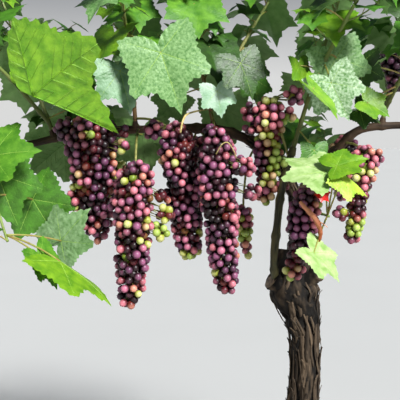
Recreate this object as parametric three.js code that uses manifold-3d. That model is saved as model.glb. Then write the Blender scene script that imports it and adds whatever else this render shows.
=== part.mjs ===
// A fruiting grapevine in a plain clay pot, in late summer as its grapes turn colour.
//
// An old trunk with a knobbly head carries one rising arm and a thinner side cane. The arm forks into a
// long left cane and a shorter right cane. Leafy shoots grow up from the canes, and bunches of grapes
// hang from them.
//
// Sizes are in millimetres: +X is to the right seen from the front, +Y away from the viewer and +Z up.
// The origin is the centre of the pot's flat underside.

import * as THREE from "three";
import { mergeVertices } from "three/addons/utils/BufferGeometryUtils.js";
import Module from "manifold-3d";

const wasm = await Module();
wasm.setup();

// Gap left between two pieces that rest on or grow from each other, and the width of the slivers that are
// closed up in a finished piece.
const CLEAR = 0.3;
const SLIVER = 0.03;

// The pot and the soil in it.
const POT = { height: 370, base: 148, mouth: 188, rim: 206, rimHeight: 52, wall: 14, floor: 18, sides: 24 };
const DRAIN = { radius: 8, from: 75, count: 3, sides: 8 };
const SOIL_TOP = 342;

// Levels of the plant: the fork of the arm, and the canes.
const FORK = 945;
const CANE = 1080;

// Radii of a green shoot at its foot and its tip, and of a leaf's stalk.
const STEM_FOOT = 5;
const STEM_TIP = 2.6;
const STALK = 2.2;

// Grapes: the bumps of a bunch stand for them, larger than life, so that few faces give its true outline.
const BUMP = 6;
const BUMP_SPACING = 18;

// A blade's outline: the angle from the midrib in degrees and the reach, as a share of the middle lobe's.
// Then its thickness at the joint with the stalk, by the same share, the distance along a shoot from one
// leaf to the next, the share of the shoot below the first leaf, and the reach of the leaf there.
const OUTLINE = [[0, 1], [27, 0.66], [52, 0.88], [81, 0.6], [124, 0.72], [180, 0.14]];
const BLADE_THICKNESS = 0.03;
const INTERNODE = 43;
const FIRST_LEAF = 0.22;
const LEAF_REACH = 88;

const UP = new THREE.Vector3(0, 0, 1);
const at = (x, y, z) => new THREE.Vector3(x, y, z);

const materials = {
  clay: new THREE.MeshStandardMaterial({ color: 0xb56a45, roughness: 0.9, metalness: 0 }),
  soil: new THREE.MeshStandardMaterial({ color: 0x3b2a1e, roughness: 1, metalness: 0 }),
  bark: new THREE.MeshStandardMaterial({ color: 0x4d3d2f, roughness: 0.95, metalness: 0 }),
  leaf: new THREE.MeshStandardMaterial({ color: 0x5f9a35, roughness: 0.55, metalness: 0 }),
  grape: new THREE.MeshStandardMaterial({ color: 0x8a3a5c, roughness: 0.45, metalness: 0 }),
};

// A repeatable run of numbers from 0 to 1.
function seeded(seed) {
  let state = seed >>> 0;
  return () => {
    state = (Math.imul(state, 1664525) + 1013904223) >>> 0;
    return state / 4294967296;
  };
}

// A closed three.js geometry as a solid.
function solidOf(geometry) {
  const bare = new THREE.BufferGeometry();
  bare.setAttribute("position", geometry.getAttribute("position"));
  bare.setIndex(geometry.index);
  const merged = mergeVertices(bare, 1e-3);
  const corners = merged.index.array;
  const faces = [];
  for (let i = 0; i < corners.length; i += 3) {
    const [a, b, c] = [corners[i], corners[i + 1], corners[i + 2]];
    if (a !== b && b !== c && c !== a) faces.push(a, b, c);
  }
  const vertProperties = merged.attributes.position.array;
  return new wasm.Manifold(new wasm.Mesh({ numProp: 3, vertProperties, triVerts: new Uint32Array(faces) }));
}

// A solid as a named mesh of the plant.
function meshOf(name, solid, material) {
  const { numProp, vertProperties, triVerts } = solid.simplify(SLIVER).getMesh();
  const corners = new Float32Array((vertProperties.length / numProp) * 3);
  for (let i = 0; i < corners.length / 3; i++) {
    corners.set(vertProperties.subarray(i * numProp, i * numProp + 3), i * 3);
  }
  const geometry = new THREE.BufferGeometry();
  geometry.setAttribute("position", new THREE.BufferAttribute(corners, 3));
  geometry.setIndex(new THREE.BufferAttribute(triVerts, 1));
  geometry.computeVertexNormals();
  const mesh = new THREE.Mesh(geometry, material);
  mesh.name = name;
  return mesh;
}

// The largest body of a solid, without loose scraps.
function largest(solid) {
  return solid.decompose().reduce((a, b) => (b.volume() > a.volume() ? b : a));
}

// A limb: a closed cylinder whose rings are carried along a curve. radiusAt(t, angle) is the bark's
// distance from the curve at t, from 0 at the foot to 1 at the tip.
function limb(curve, radiusAt, sides, steps) {
  const geometry = new THREE.CylinderGeometry(1, 1, 1, sides, steps);
  const frames = curve.computeFrenetFrames(steps, false);
  const corner = geometry.getAttribute("position");
  for (let i = 0; i < corner.count; i++) {
    const ring = Math.round((corner.getY(i) + 0.5) * steps);
    const [x, z] = [corner.getX(i), corner.getZ(i)];
    const normal = frames.normals[ring];
    const side = at(0, 0, 0).crossVectors(normal, frames.tangents[ring]);
    const radius = radiusAt(ring / steps, Math.atan2(z, x));
    const place = curve.getPointAt(ring / steps).addScaledVector(normal, x * radius);
    place.addScaledVector(side, z * radius);
    corner.setXYZ(i, place.x, place.y, place.z);
  }
  return geometry;
}

// A limb that others grow from: its curve, its solid, and the same solid a little thicker, which is cut
// from what grows out of it.
function carrier(points, radiusAt, sides, steps) {
  const curve = new THREE.CatmullRomCurve3(points, false, "catmullrom", 0.5);
  const thicker = (t, angle) => radiusAt(t, angle) + CLEAR;
  return {
    curve,
    solid: solidOf(limb(curve, radiusAt, sides, steps)),
    room: solidOf(limb(curve, thicker, sides, steps)),
  };
}

const tapered = (foot, tip) => (t) => foot + (tip - foot) * t;

// The pot is turned: its outside rises to a rolled rim, and its inside goes down to a thick floor.
function potSolid() {
  const { height, base, mouth, rim, rimHeight, wall, floor, sides } = POT;
  const profile = [
    [0, 0], [base - 4, 0], [base, 5], [mouth, height - rimHeight], [rim - 4, height - rimHeight],
    [rim, height - rimHeight + 5], [rim, height - 6], [rim - 6, height], [mouth - wall + 6, height],
    [mouth - wall, height - 8], [base - wall, floor], [0, floor],
  ];
  const turned = new THREE.LatheGeometry(profile.map(([r, z]) => new THREE.Vector2(r, z)), sides);
  let pot = solidOf(turned.rotateX(Math.PI / 2));
  for (let i = 0; i < DRAIN.count; i++) {
    const angle = (i / DRAIN.count) * 2 * Math.PI;
    const hole = new THREE.CylinderGeometry(DRAIN.radius, DRAIN.radius, 4 * floor, DRAIN.sides);
    hole.rotateX(Math.PI / 2).translate(DRAIN.from * Math.cos(angle), DRAIN.from * Math.sin(angle), 0);
    pot = pot.subtract(solidOf(hole));
  }
  return pot;
}

// The soil fills the pot, level where the trunk stands and a little lower at the wall.
function soilSolid() {
  const { height, base, mouth, wall, floor, sides } = POT;
  const slope = (mouth - base) / (height - 8 - floor);
  const wallAt = (z) => base - wall + (z - floor) * slope - 2 * CLEAR;
  const low = floor + CLEAR;
  const edge = SOIL_TOP - 8;
  const profile = [[0, low], [wallAt(low), low], [wallAt(edge), edge], [90, SOIL_TOP], [0, SOIL_TOP]];
  const turned = new THREE.LatheGeometry(profile.map(([r, z]) => new THREE.Vector2(r, z)), sides);
  return solidOf(turned.rotateX(Math.PI / 2));
}

// The trunk leans a little and stands on a root flare. Its head is wide with old pruning wounds.
const TRUNK_PATH = [
  at(0, 0, SOIL_TOP + CLEAR), at(6, 2, 430), at(17, 4, 560), at(12, 2, 665),
  at(-6, 0, 735), at(-12, 2, 800), at(-8, 8, 836),
];
const TRUNK_RADIUS = [58, 36, 31, 28, 29, 47, 24];
const FLARE_ROOTS = 5;

function trunkRadius(t, angle) {
  const place = t * (TRUNK_RADIUS.length - 1);
  const i = Math.min(Math.floor(place), TRUNK_RADIUS.length - 2);
  const smooth = TRUNK_RADIUS[i] + (TRUNK_RADIUS[i + 1] - TRUNK_RADIUS[i]) * (place - i);
  const flare = 0.16 * Math.max(0, 1 - t * 7) * Math.cos(FLARE_ROOTS * angle);
  const ridges = 0.07 * Math.cos(3 * angle + 9 * t);
  return smooth * (1 + flare + ridges);
}

// Stubs of pruned arms on the head: place, direction, length and radius.
const STUBS = [
  { from: at(-30, -12, 762), to: at(-58, -20, 782), radius: 19 },
  { from: at(5, -10, 770), to: at(36, -26, 800), radius: 15 },
  { from: at(-14, 20, 750), to: at(-30, 52, 768), radius: 17 },
  { from: at(10, 10, 790), to: at(34, 30, 822), radius: 13 },
];

function trunkCarrier() {
  const trunk = carrier(TRUNK_PATH, trunkRadius, 10, 14);
  const floorCut = new THREE.BoxGeometry(400, 400, 200).translate(0, 0, SOIL_TOP + CLEAR - 100);
  for (const { from, to, radius } of STUBS) {
    const stub = carrier([from, to], tapered(radius * 1.25, radius), 7, 2);
    trunk.solid = trunk.solid.add(stub.solid);
    trunk.room = trunk.room.add(stub.room);
  }
  trunk.solid = largest(trunk.solid.subtract(solidOf(floorCut)));
  return trunk;
}

// The woody limbs. Each ends where it meets another limb or a mass of leaves.
const limbs = { trunk: trunkCarrier() };

function grow(name, parents, points, foot, tip, steps) {
  const grown = carrier(points, tapered(foot, tip), 8, steps);
  const cut = parents.reduce((solid, parent) => solid.subtract(limbs[parent].room), grown.solid);
  grown.solid = largest(cut);
  limbs[name] = grown;
}

grow("arm", ["trunk"], [at(-8, 6, 810), at(4, 14, 868), at(-3, 20, FORK)], 24, 19, 5);
grow(
  "left_arm", ["arm"],
  [at(-3, 20, FORK - 6), at(-26, 26, 985), at(-62, 30, 1030), at(-104, 32, CANE - 18)],
  14, 11, 5,
);
grow(
  "left_cane", ["left_arm"],
  [
    at(-102, 32, CANE - 20), at(-170, 34, CANE), at(-300, 36, CANE),
    at(-440, 34, CANE - 6), at(-545, 28, CANE - 30), at(-645, 20, CANE - 40),
  ],
  10, 6, 11,
);
grow(
  "right_arm", ["arm", "left_arm"],
  [at(-3, 20, FORK - 4), at(34, 26, 985), at(76, 28, CANE - 40)],
  13, 10, 4,
);
grow(
  "right_cane", ["right_arm"],
  [at(75, 28, CANE - 42), at(124, 28, CANE), at(220, 24, CANE + 8), at(312, 14, CANE)],
  9, 6, 6,
);
grow(
  "side_cane", ["trunk"],
  [at(-46, -16, 770), at(-54, -32, 818), at(-50, -38, 890), at(-42, -40, 960), at(-22, -38, 1040)],
  8, 6.5, 7,
);

// A shoot leaves its start at a heading round the plant, in degrees from +X towards +Y, and at an angle
// from the vertical, and droops with the square of the distance.
function shootPath(start, [heading, lean, length, droop]) {
  const turn = THREE.MathUtils.degToRad(heading);
  const tilt = THREE.MathUtils.degToRad(lean);
  const out = at(Math.cos(turn), Math.sin(turn), 0);
  const points = [0, 1 / 3, 2 / 3, 1].map((t) => {
    const along = start.clone().addScaledVector(out, Math.sin(tilt) * length * t);
    return along.addScaledVector(UP, length * (Math.cos(tilt) * t - droop * t * t));
  });
  return new THREE.CatmullRomCurve3(points, false, "catmullrom", 0.5);
}

// The masses of leaves. Each grows by one stem from a limb, at a share of its length, and the stem may
// fork. A shoot is [heading, lean, length, droop], and a fork has first the share of the stem where it
// starts.
const MASSES = [
  {
    name: "leaves_left_end", on: "left_cane", share: 0.985, seed: 11,
    stem: [195, 60, 150, 0.75], forks: [[0.3, 308, 95, 215, 0.7]],
  },
  {
    name: "leaves_left", on: "left_cane", share: 0.72, seed: 22,
    stem: [160, 22, 430, 0.05], forks: [[0.08, 215, 40, 380, 0.2], [0.2, 95, 42, 330, 0.25]],
  },
  {
    name: "leaves_left_middle", on: "left_cane", share: 0.42, seed: 33,
    stem: [120, 8, 440, 0], forks: [[0.1, 265, 28, 390, 0.12]],
  },
  {
    name: "leaves_middle", on: "left_cane", share: 0.13, seed: 44,
    stem: [170, 13, 430, 0], forks: [[0.1, 32, 30, 390, 0.14]],
  },
  {
    name: "leaves_tall", on: "side_cane", share: 0.97, seed: 55,
    stem: [20, 18, 520, 0.02], forks: [[0.25, 300, 35, 380, 0.18]],
  },
  {
    name: "leaves_right", on: "right_cane", share: 0.42, seed: 66,
    stem: [30, 14, 430, 0], forks: [[0.08, 290, 38, 340, 0.2], [0.16, 85, 44, 350, 0.3]],
  },
  {
    name: "leaves_right_end", on: "right_cane", share: 0.985, seed: 77,
    stem: [350, 62, 230, 0.5], forks: [[0.2, 20, 30, 330, 0.2]],
  },
  {
    name: "leaves_back_left", on: "left_cane", share: 0.55, seed: 88,
    stem: [90, 78, 260, 0.6], forks: [[0.3, 140, 60, 230, 0.6]],
  },
  {
    name: "leaves_back_right", on: "right_arm", share: 0.55, seed: 99,
    stem: [75, 66, 270, 0.5], forks: [[0.3, 120, 50, 250, 0.45]],
  },
  {
    name: "leaves_low_front", on: "arm", share: 0.72, seed: 110,
    stem: [292, 72, 118, 0.2], forks: [],
  },
];

// Leaves that stand out: the mass that each belongs to, where its stalk joins the blade, where the middle
// lobe points, which way the upper side faces, its reach from stalk to tip, and how far its halves are
// folded up.
const SHOWN_LEAVES = [
  {
    mass: "leaves_left", joint: at(-496, -150, 1144), aim: at(135, 10, -49),
    face: at(0.1, 0.38, 0.92), reach: 158, fold: 1.0,
  },
  {
    mass: "leaves_left_middle", joint: at(-348, -84, 1190), aim: at(23, -14, -76),
    face: at(0.2, -0.85, 0.4), reach: 80, fold: 0.1,
  },
  {
    mass: "leaves_left_middle", joint: at(-271, -108, 1222), aim: at(37, -14, -105),
    face: at(-0.1, -0.8, 0.5), reach: 112, fold: 0.12,
  },
  {
    mass: "leaves_middle", joint: at(-168, -62, 1154), aim: at(10, -8, -49),
    face: at(0.1, -0.9, 0.3), reach: 50, fold: 0,
  },
  {
    mass: "leaves_left_end", joint: at(-580, -118, 1036), aim: at(96, -25, 18),
    face: at(-0.2, -0.8, 0.55), reach: 92, fold: 0.15,
  },
  {
    mass: "leaves_left_end", joint: at(-578, -92, 1000), aim: at(42, -15, -118),
    face: at(-0.1, -0.85, 0.4), reach: 104, fold: 0.1,
  },
  {
    mass: "leaves_left_end", joint: at(-464, -84, 872), aim: at(57, -16, 71),
    face: at(-0.3, -0.92, 0.2), reach: 82, fold: 0.1,
  },
  {
    mass: "leaves_left_end", joint: at(-448, -184, 853), aim: at(100, -8, -60),
    face: at(0.1, 0.08, 0.98), reach: 116, fold: -0.18,
  },
  {
    mass: "leaves_tall", joint: at(38, -112, 1168), aim: at(32, -8, -65),
    face: at(-0.35, -0.75, 0.5), reach: 74, fold: 0.12,
  },
  {
    mass: "leaves_tall", joint: at(56, -58, 1216), aim: at(33, -4, -89),
    face: at(0.1, -0.9, 0.3), reach: 86, fold: 0.1,
  },
  {
    mass: "leaves_right", joint: at(112, -78, 1132), aim: at(42, -6, -21),
    face: at(0.1, -0.8, 0.6), reach: 48, fold: 0.3,
  },
  {
    mass: "leaves_right", joint: at(102, -62, 1119), aim: at(41, -4, -22),
    face: at(0.1, -0.85, 0.4), reach: 46, fold: 0.1,
  },
  {
    mass: "leaves_low_front", joint: at(22, -152, 1009), aim: at(-73, 59, 34),
    face: at(0.05, -0.5, 0.86), reach: 90, fold: 0,
  },
  {
    mass: "leaves_low_front", joint: at(3, -174, 867), aim: at(53, -10, -46),
    face: at(0.15, -0.42, 0.9), reach: 68, fold: 0.12,
  },
  {
    mass: "leaves_middle", joint: at(-124, -62, 1206), aim: at(24, -16, -60),
    face: at(0.2, -0.85, 0.4), reach: 70, fold: 0.1,
  },
  {
    mass: "leaves_middle", joint: at(-150, 78, 1119), aim: at(21, 6, -100),
    face: at(0.1, 0.9, 0.4), reach: 84, fold: 0.1,
  },
  {
    mass: "leaves_middle", joint: at(-95, 34, 1182), aim: at(22, -12, -66),
    face: at(0.5, -0.7, 0.4), reach: 62, fold: 0.1,
  },
  {
    mass: "leaves_tall", joint: at(15, -76, 1043), aim: at(2, -8, -42),
    face: at(0.2, -0.85, 0.4), reach: 44, fold: 0.1,
  },
  {
    mass: "leaves_back_left", joint: at(-484, 78, 1048), aim: at(-78, 6, -63),
    face: at(-0.1, 0.97, 0.15), reach: 96, fold: 0.1,
  },
  {
    mass: "leaves_back_left", joint: at(-319, 78, 1067), aim: at(6, 6, -96),
    face: at(0.1, 0.9, 0.35), reach: 92, fold: 0.1,
  },
  {
    mass: "leaves_left", joint: at(-430, 14, 1130), aim: at(-47, 2, -6),
    face: at(0, -0.9, 0.4), reach: 46, fold: 0.1,
  },
  {
    mass: "leaves_tall", joint: at(-14, -70, 1201), aim: at(12, -6, -44),
    face: at(0.7, -0.65, 0.2), reach: 48, fold: 0.1,
  },
  {
    mass: "leaves_right", joint: at(107, -30, 1206), aim: at(6, -6, -63),
    face: at(-0.4, -0.8, 0.3), reach: 62, fold: 0.1,
  },
  {
    mass: "leaves_middle", joint: at(-252, 84, 1142), aim: at(-36, 6, -47),
    face: at(0.1, 0.95, 0.2), reach: 60, fold: 0.1,
  },
];

// A leaf on its stalk, as one sphere of four rows drawn out: its upper pole is the middle of the blade,
// the first ring is cut to the lobed outline, the next two are the top and the foot of a three-sided
// stalk, and the lower pole is the stalk's end inside the shoot. The blade droops towards its rim.
function leafSolid({ from, joint, aim, face, reach, fold, droop }) {
  const along = aim.clone().normalize();
  const up = face.clone().addScaledVector(along, -face.dot(along)).normalize();
  const side = at(0, 0, 0).crossVectors(up, along);
  const down = from.clone().sub(joint).normalize();
  const stalkX = along.clone().addScaledVector(down, -along.dot(down)).normalize();
  const stalkY = at(0, 0, 0).crossVectors(stalkX, down);
  const neck = joint.clone().addScaledVector(up, -reach * BLADE_THICKNESS);
  const columns = 2 * OUTLINE.length - 2;
  const geometry = new THREE.SphereGeometry(1, columns, 4);
  const corner = geometry.getAttribute("position");
  for (let i = 0; i < corner.count; i++) {
    const row = Math.round((Math.acos(corner.getY(i)) / Math.PI) * 4);
    const turn = Math.atan2(-corner.getZ(i), corner.getX(i));
    const place = joint.clone();
    if (row === 1) {
      const [degrees, share] = OUTLINE[Math.round((Math.abs(turn) / Math.PI) * (OUTLINE.length - 1))];
      const angle = THREE.MathUtils.degToRad(degrees) * Math.sign(turn);
      const across = share * Math.sin(angle);
      place.addScaledVector(along, reach * share * Math.cos(angle)).addScaledVector(side, reach * across);
      place.addScaledVector(up, reach * (fold * Math.abs(across) - droop * share * share));
    } else if (row > 1) {
      const column = Math.round(((turn + Math.PI) / (2 * Math.PI)) * columns) % columns;
      const third = ((Math.floor((column * 3) / columns) + 0.5) / 3) * 2 * Math.PI - Math.PI;
      const radius = row === 4 ? 0 : STALK;
      place.copy(row === 2 ? neck : from);
      place.addScaledVector(stalkX, radius * Math.cos(third));
      place.addScaledVector(stalkY, radius * Math.sin(third));
    }
    corner.setXYZ(i, place.x, place.y, place.z);
  }
  return solidOf(geometry);
}

// The leaves of a shoot by rule: one at each joint, to alternate sides, each on a stalk that reaches out
// and up, with the blade hanging outwards. They get smaller towards the tip.
function leavesOf(shoot, random) {
  const leaves = [];
  const length = shoot.getLength();
  const count = Math.round((length * (1 - FIRST_LEAF)) / INTERNODE);
  const turn0 = random() * 2 * Math.PI;
  for (let i = 0; i <= count; i++) {
    const share = FIRST_LEAF + ((1 - FIRST_LEAF) * i) / count;
    const from = shoot.getPointAt(Math.min(share, 0.995));
    const turn = turn0 + i * Math.PI + (random() - 0.5) * 0.9;
    const out = at(Math.cos(turn), Math.sin(turn), 0);
    const reach = LEAF_REACH * (1 - share * share / 2) * (0.82 + 0.36 * random());
    const stalk = reach * (0.55 + 0.25 * random());
    const joint = from.clone().addScaledVector(out, 0.85 * stalk).addScaledVector(UP, 0.5 * stalk);
    const aim = out.clone().multiplyScalar(0.75).addScaledVector(UP, -0.35 - 0.5 * random());
    const face = out.clone().multiplyScalar(0.55).addScaledVector(UP, 0.8);
    const [fold, droop] = [0.1 + 0.2 * random(), 0.12 + 0.12 * random()];
    leaves.push({ from, joint, aim, face, reach, fold, droop });
  }
  return leaves;
}

// The bunches: the shoot that each hangs from and the share of it, then the top and the tip of its body,
// the width of its shoulder, and its wings, each as an offset from the top and a radius.
const BUNCHES = [
  {
    name: "bunch_left", on: "leaves_left", share: 0.05, width: 106,
    top: at(-412, -34, 1091), tip: at(-402, -38, 877),
    wings: [
      [-44, -2, -11, 28], [41, -12, -5, 21], [62, -4, -17, 20],
      [68, -18, -42, 18], [-29, -6, -145, 23], [15, -4, -217, 18],
    ],
  },
  {
    name: "bunch_left_low", on: "left_cane", share: 0.41, width: 84,
    top: at(-320, -88, 1014), tip: at(-333, -92, 742),
    wings: [[47, 4, -55, 22], [55, 6, -91, 23], [44, 4, -124, 21], [-43, 4, -72, 15]],
  },
  {
    name: "bunch_middle_left", on: "leaves_left_middle", share: 0.05, width: 87,
    top: at(-247, -12, 1083), tip: at(-219, -16, 823),
    wings: [[-45, -2, -5, 25]],
  },
  {
    name: "bunch_middle", on: "leaves_middle", share: 0.08, width: 82,
    top: at(-174, -62, 1085), tip: at(-148, -66, 760),
    wings: [[54, -22, -75, 26], [24, -12, -163, 28], [65, -16, -124, 21], [76, -10, -116, 16]],
  },
  {
    name: "bunch_middle_right", on: "side_cane", share: 0.93, width: 66,
    top: at(-62, -26, 1139), tip: at(-72, -30, 934),
    wings: [
      [-38, 0, -26, 23], [43, -8, 7, 22], [22, -4, -171, 17],
      [20, -6, -125, 19], [-38, 12, -58, 20], [35, -4, -30, 19],
    ],
  },
  {
    name: "bunch_behind", on: "left_arm", share: 0.8, width: 44,
    top: at(-112, 62, 915), tip: at(-101, 60, 808),
    wings: [],
  },
  {
    name: "bunch_trunk", on: "arm", share: 0.82, width: 66,
    top: at(4, -92, 964), tip: at(-27, -98, 798),
    wings: [],
  },
  {
    name: "bunch_right", on: "right_cane", share: 0.08, width: 62,
    top: at(123, -32, 1043), tip: at(94, -36, 856),
    wings: [[19, 2, -15, 19], [-45, -6, -124, 21]],
  },
  {
    name: "bunch_far_right", on: "leaves_right", share: 0.4, width: 60,
    top: at(183, 24, 1236), tip: at(190, 20, 1152),
    wings: [],
  },
  {
    name: "bunch_far_left", on: "left_cane", share: 0.93, width: 70,
    top: at(-650, 70, 1030), tip: at(-660, 74, 860),
    wings: [],
  },
  {
    name: "bunch_back_left", on: "leaves_back_left", share: 0.36, width: 82,
    top: at(-400, 142, 1060), tip: at(-398, 148, 905),
    wings: [],
  },
  {
    name: "bunch_back_middle", on: "left_cane", share: 0.17, width: 82,
    top: at(-216, 104, 1050), tip: at(-212, 108, 898),
    wings: [],
  },
  {
    name: "bunch_back_right", on: "right_arm", share: 0.7, width: 74,
    top: at(106, 108, 1050), tip: at(108, 112, 925),
    wings: [],
  },
  {
    name: "bunch_right_end", on: "right_cane", share: 0.9, width: 70,
    top: at(292, -34, 1040), tip: at(296, -38, 880),
    wings: [],
  },
];
const TIP_SHARE = 0.55;
const SHOULDER_AT = 0.16;
const NARROWING = 1.8;

// The body of a bunch swells to its shoulder and narrows to its blunt tip.
function bunchShare(t) {
  if (t < SHOULDER_AT) return 0.55 + 0.45 * Math.sin((Math.PI / 2) * (t / SHOULDER_AT));
  return 1 + (TIP_SHARE - 1) * ((t - SHOULDER_AT) / (1 - SHOULDER_AT)) ** NARROWING;
}

// Alternate corners of a grid stand out and in, so that each that stands out is a grape.
const bump = (row, column) => ((row + column) % 2 === 0 ? 0 : -BUMP);

// A bunch: a lumpy body along its axis, and round lumpy wings beside its shoulder.
function bunchSolid({ top, tip, width, wings }) {
  const sides = 10;
  const steps = Math.round(top.distanceTo(tip) / BUMP_SPACING);
  const column = (angle) => Math.round((angle / (2 * Math.PI)) * sides) + sides;
  const radius = (t, angle) => (width / 2) * bunchShare(t) + bump(Math.round(t * steps), column(angle));
  let solid = solidOf(limb(new THREE.LineCurve3(top, tip), radius, sides, steps));
  for (const [across, depth, drop, size] of wings) {
    const wing = new THREE.SphereGeometry(1, 8, 5);
    const corner = wing.getAttribute("position");
    for (let i = 0; i < corner.count; i++) {
      const way = at(corner.getX(i), corner.getY(i), corner.getZ(i));
      const turn = Math.round((Math.atan2(way.z, way.x) / Math.PI) * 4) + 8;
      const pole = Math.hypot(way.x, way.z) < 1e-6;
      const reach = size + (pole ? 0 : bump(Math.round((Math.acos(way.y) / Math.PI) * 5), turn));
      const middle = at(top.x + across, top.y + depth, top.z + drop);
      corner.setXYZ(i, middle.x + way.x * reach, middle.y + way.z * reach, middle.z - way.y * reach);
    }
    solid = solid.add(solidOf(wing));
  }
  return solid;
}

// The stalk of a bunch bends out of its shoot and down into the bunch.
function bunchStalk(from, { top, tip }) {
  const inside = top.clone().lerp(tip, 0.15);
  const bend = at(top.x, top.y, Math.max(from.z, top.z) + 6).lerp(from, 0.1);
  return solidOf(limb(new THREE.QuadraticBezierCurve3(from, bend, inside), tapered(3.2, 2.8), 4, 4));
}

// The woody shoots of a mass, joined, with the room round them that bunches and leaves of others keep out
// of.
function stemsOf({ on, share, stem, forks }) {
  const parent = limbs[on];
  const main = shootPath(parent.curve.getPointAt(share), stem);
  const shoots = [main, ...forks.map(([place, ...fork]) => shootPath(main.getPointAt(place), fork))];
  const joined = (room) => {
    const radius = tapered(STEM_FOOT + room, STEM_TIP + room);
    return shoots.map((shoot) => solidOf(limb(shoot, radius, 5, 5))).reduce((a, b) => a.add(b));
  };
  return { shoots, curve: main, solid: largest(joined(0).subtract(parent.room)), room: joined(CLEAR) };
}

const masses = {};
for (const mass of MASSES) masses[mass.name] = stemsOf(mass);

// Each bunch hangs from a limb or a shoot, and is cut clear of it.
const bunches = {};
for (const bunch of BUNCHES) {
  const parent = limbs[bunch.on] ?? masses[bunch.on];
  const stalk = bunchStalk(parent.curve.getPointAt(bunch.share), bunch);
  bunches[bunch.name] = { solid: largest(bunchSolid(bunch).add(stalk).subtract(parent.room)) };
}

// The point of a mass's shoots that lies nearest to a place.
function nearestShoot(shoots, place) {
  const along = [...Array(18).keys()].map((i) => (i + 2) / 20);
  const points = shoots.flatMap((shoot) => along.map((share) => shoot.getPointAt(share)));
  return points.reduce((a, b) => (b.distanceTo(place) < a.distanceTo(place) ? b : a));
}

// A leaf is fused to its mass, or skipped where it would touch a limb, a bunch, another mass or a leaf of
// its own. Only the upper part of its stalk is tested against the leaves of its own mass.
const touches = (solid, others) => others.some((other) => solid.minGap(other, 2 * CLEAR) < CLEAR);

function addLeaf(mass, leaf) {
  const solid = leafSolid(leaf);
  const upper = leafSolid({ ...leaf, from: leaf.from.clone().lerp(leaf.joint, 0.4) });
  const neighbours = [limbs, bunches, masses].flatMap((group) => Object.values(group));
  const others = neighbours.filter((other) => other !== mass).map((other) => other.solid);
  if (touches(upper, mass.leaves) || touches(solid, others)) return;
  mass.solid = mass.solid.add(solid);
  mass.leaves.push(upper);
}

for (const mass of Object.values(masses)) mass.leaves = [];
for (const shown of SHOWN_LEAVES) {
  const mass = masses[shown.mass];
  addLeaf(mass, { from: nearestShoot(mass.shoots, shown.joint), droop: 0.12, ...shown });
}
for (const { name, seed } of MASSES) {
  const random = seeded(seed);
  for (const shoot of masses[name].shoots) {
    for (const leaf of leavesOf(shoot, random)) addLeaf(masses[name], leaf);
  }
}

const plant = new THREE.Group();
plant.add(meshOf("pot", potSolid(), materials.clay));
plant.add(meshOf("soil", soilSolid(), materials.soil));
const growth = [[limbs, materials.bark], [bunches, materials.grape], [masses, materials.leaf]];
for (const [group, material] of growth) {
  for (const [name, { solid }] of Object.entries(group)) plant.add(meshOf(name, largest(solid), material));
}

export default plant;
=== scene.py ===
"""A fruiting grapevine in a plain clay pot: its bark, shoots, leaves, grapes, pot and studio."""

import functools

import bpy
import numpy as np
from bpy.props import FloatProperty, FloatVectorProperty, IntProperty, PointerProperty
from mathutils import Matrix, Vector
from mathutils.kdtree import KDTree


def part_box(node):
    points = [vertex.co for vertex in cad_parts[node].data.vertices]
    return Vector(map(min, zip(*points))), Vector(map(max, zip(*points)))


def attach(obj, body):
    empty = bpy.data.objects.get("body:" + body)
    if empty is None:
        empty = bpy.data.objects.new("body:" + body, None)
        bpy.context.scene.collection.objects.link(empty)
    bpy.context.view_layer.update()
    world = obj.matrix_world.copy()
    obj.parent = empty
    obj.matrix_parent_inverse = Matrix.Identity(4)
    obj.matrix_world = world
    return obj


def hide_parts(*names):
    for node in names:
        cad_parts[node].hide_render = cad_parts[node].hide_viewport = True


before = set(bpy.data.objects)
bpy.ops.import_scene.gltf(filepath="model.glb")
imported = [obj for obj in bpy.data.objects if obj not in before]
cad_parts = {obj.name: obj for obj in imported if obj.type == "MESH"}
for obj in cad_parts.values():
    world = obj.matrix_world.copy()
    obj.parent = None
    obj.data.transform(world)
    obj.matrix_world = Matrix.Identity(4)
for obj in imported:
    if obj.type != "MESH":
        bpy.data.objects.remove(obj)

bl_info = {
    "name": "Potted grapevine",
    "version": (1, 0, 0),
    "blender": (4, 5, 0),
    "location": "3D View > Sidebar > Grapevine",
    "description": "Bark, shoots, leaves, grapes, pot and studio of a potted grapevine",
    "category": "Object",
}

# Every size in the tables is in millimetres, as in the part's source: +X to the right seen from the front,
# +Y away from the viewer and +Z up, from the centre of the pot's flat underside.
MM = 0.001
TURN = 2 * np.pi
UP = np.array([0.0, 0.0, 1.0])

# The pot: its profile as (radius, height), from the middle of its underside round to its middle inside, and
# its drain holes. The soil: the height of its top, how that changes with the way from the middle, and its
# side as (radius, height).
POT_PROFILE = [
    (0, 0), (141, 0), (145, 1), (148, 5), (160, 103), (174, 206), (187, 312), (188, 317), (191, 318),
    (202, 318), (205, 320), (206, 324), (206, 341), (205.4, 343), (206, 345), (206, 362), (204, 367),
    (199, 370), (181, 370), (176, 367), (174, 361), (161, 240), (147, 120), (135, 22), (132, 18), (0, 18),
]
DRAIN = {"radius": 8, "from": 75, "count": 3}
SOIL_TOP = 342
SOIL_PROFILE = [(0, 0), (50, 0), (90, 0), (130, -3), (158, -7), (170.6, -8)]
SOIL_WALL = [(133.6, 18.3), (152, 180)]
CRUMBS = 420
CRUMB_REACH = 158

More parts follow.
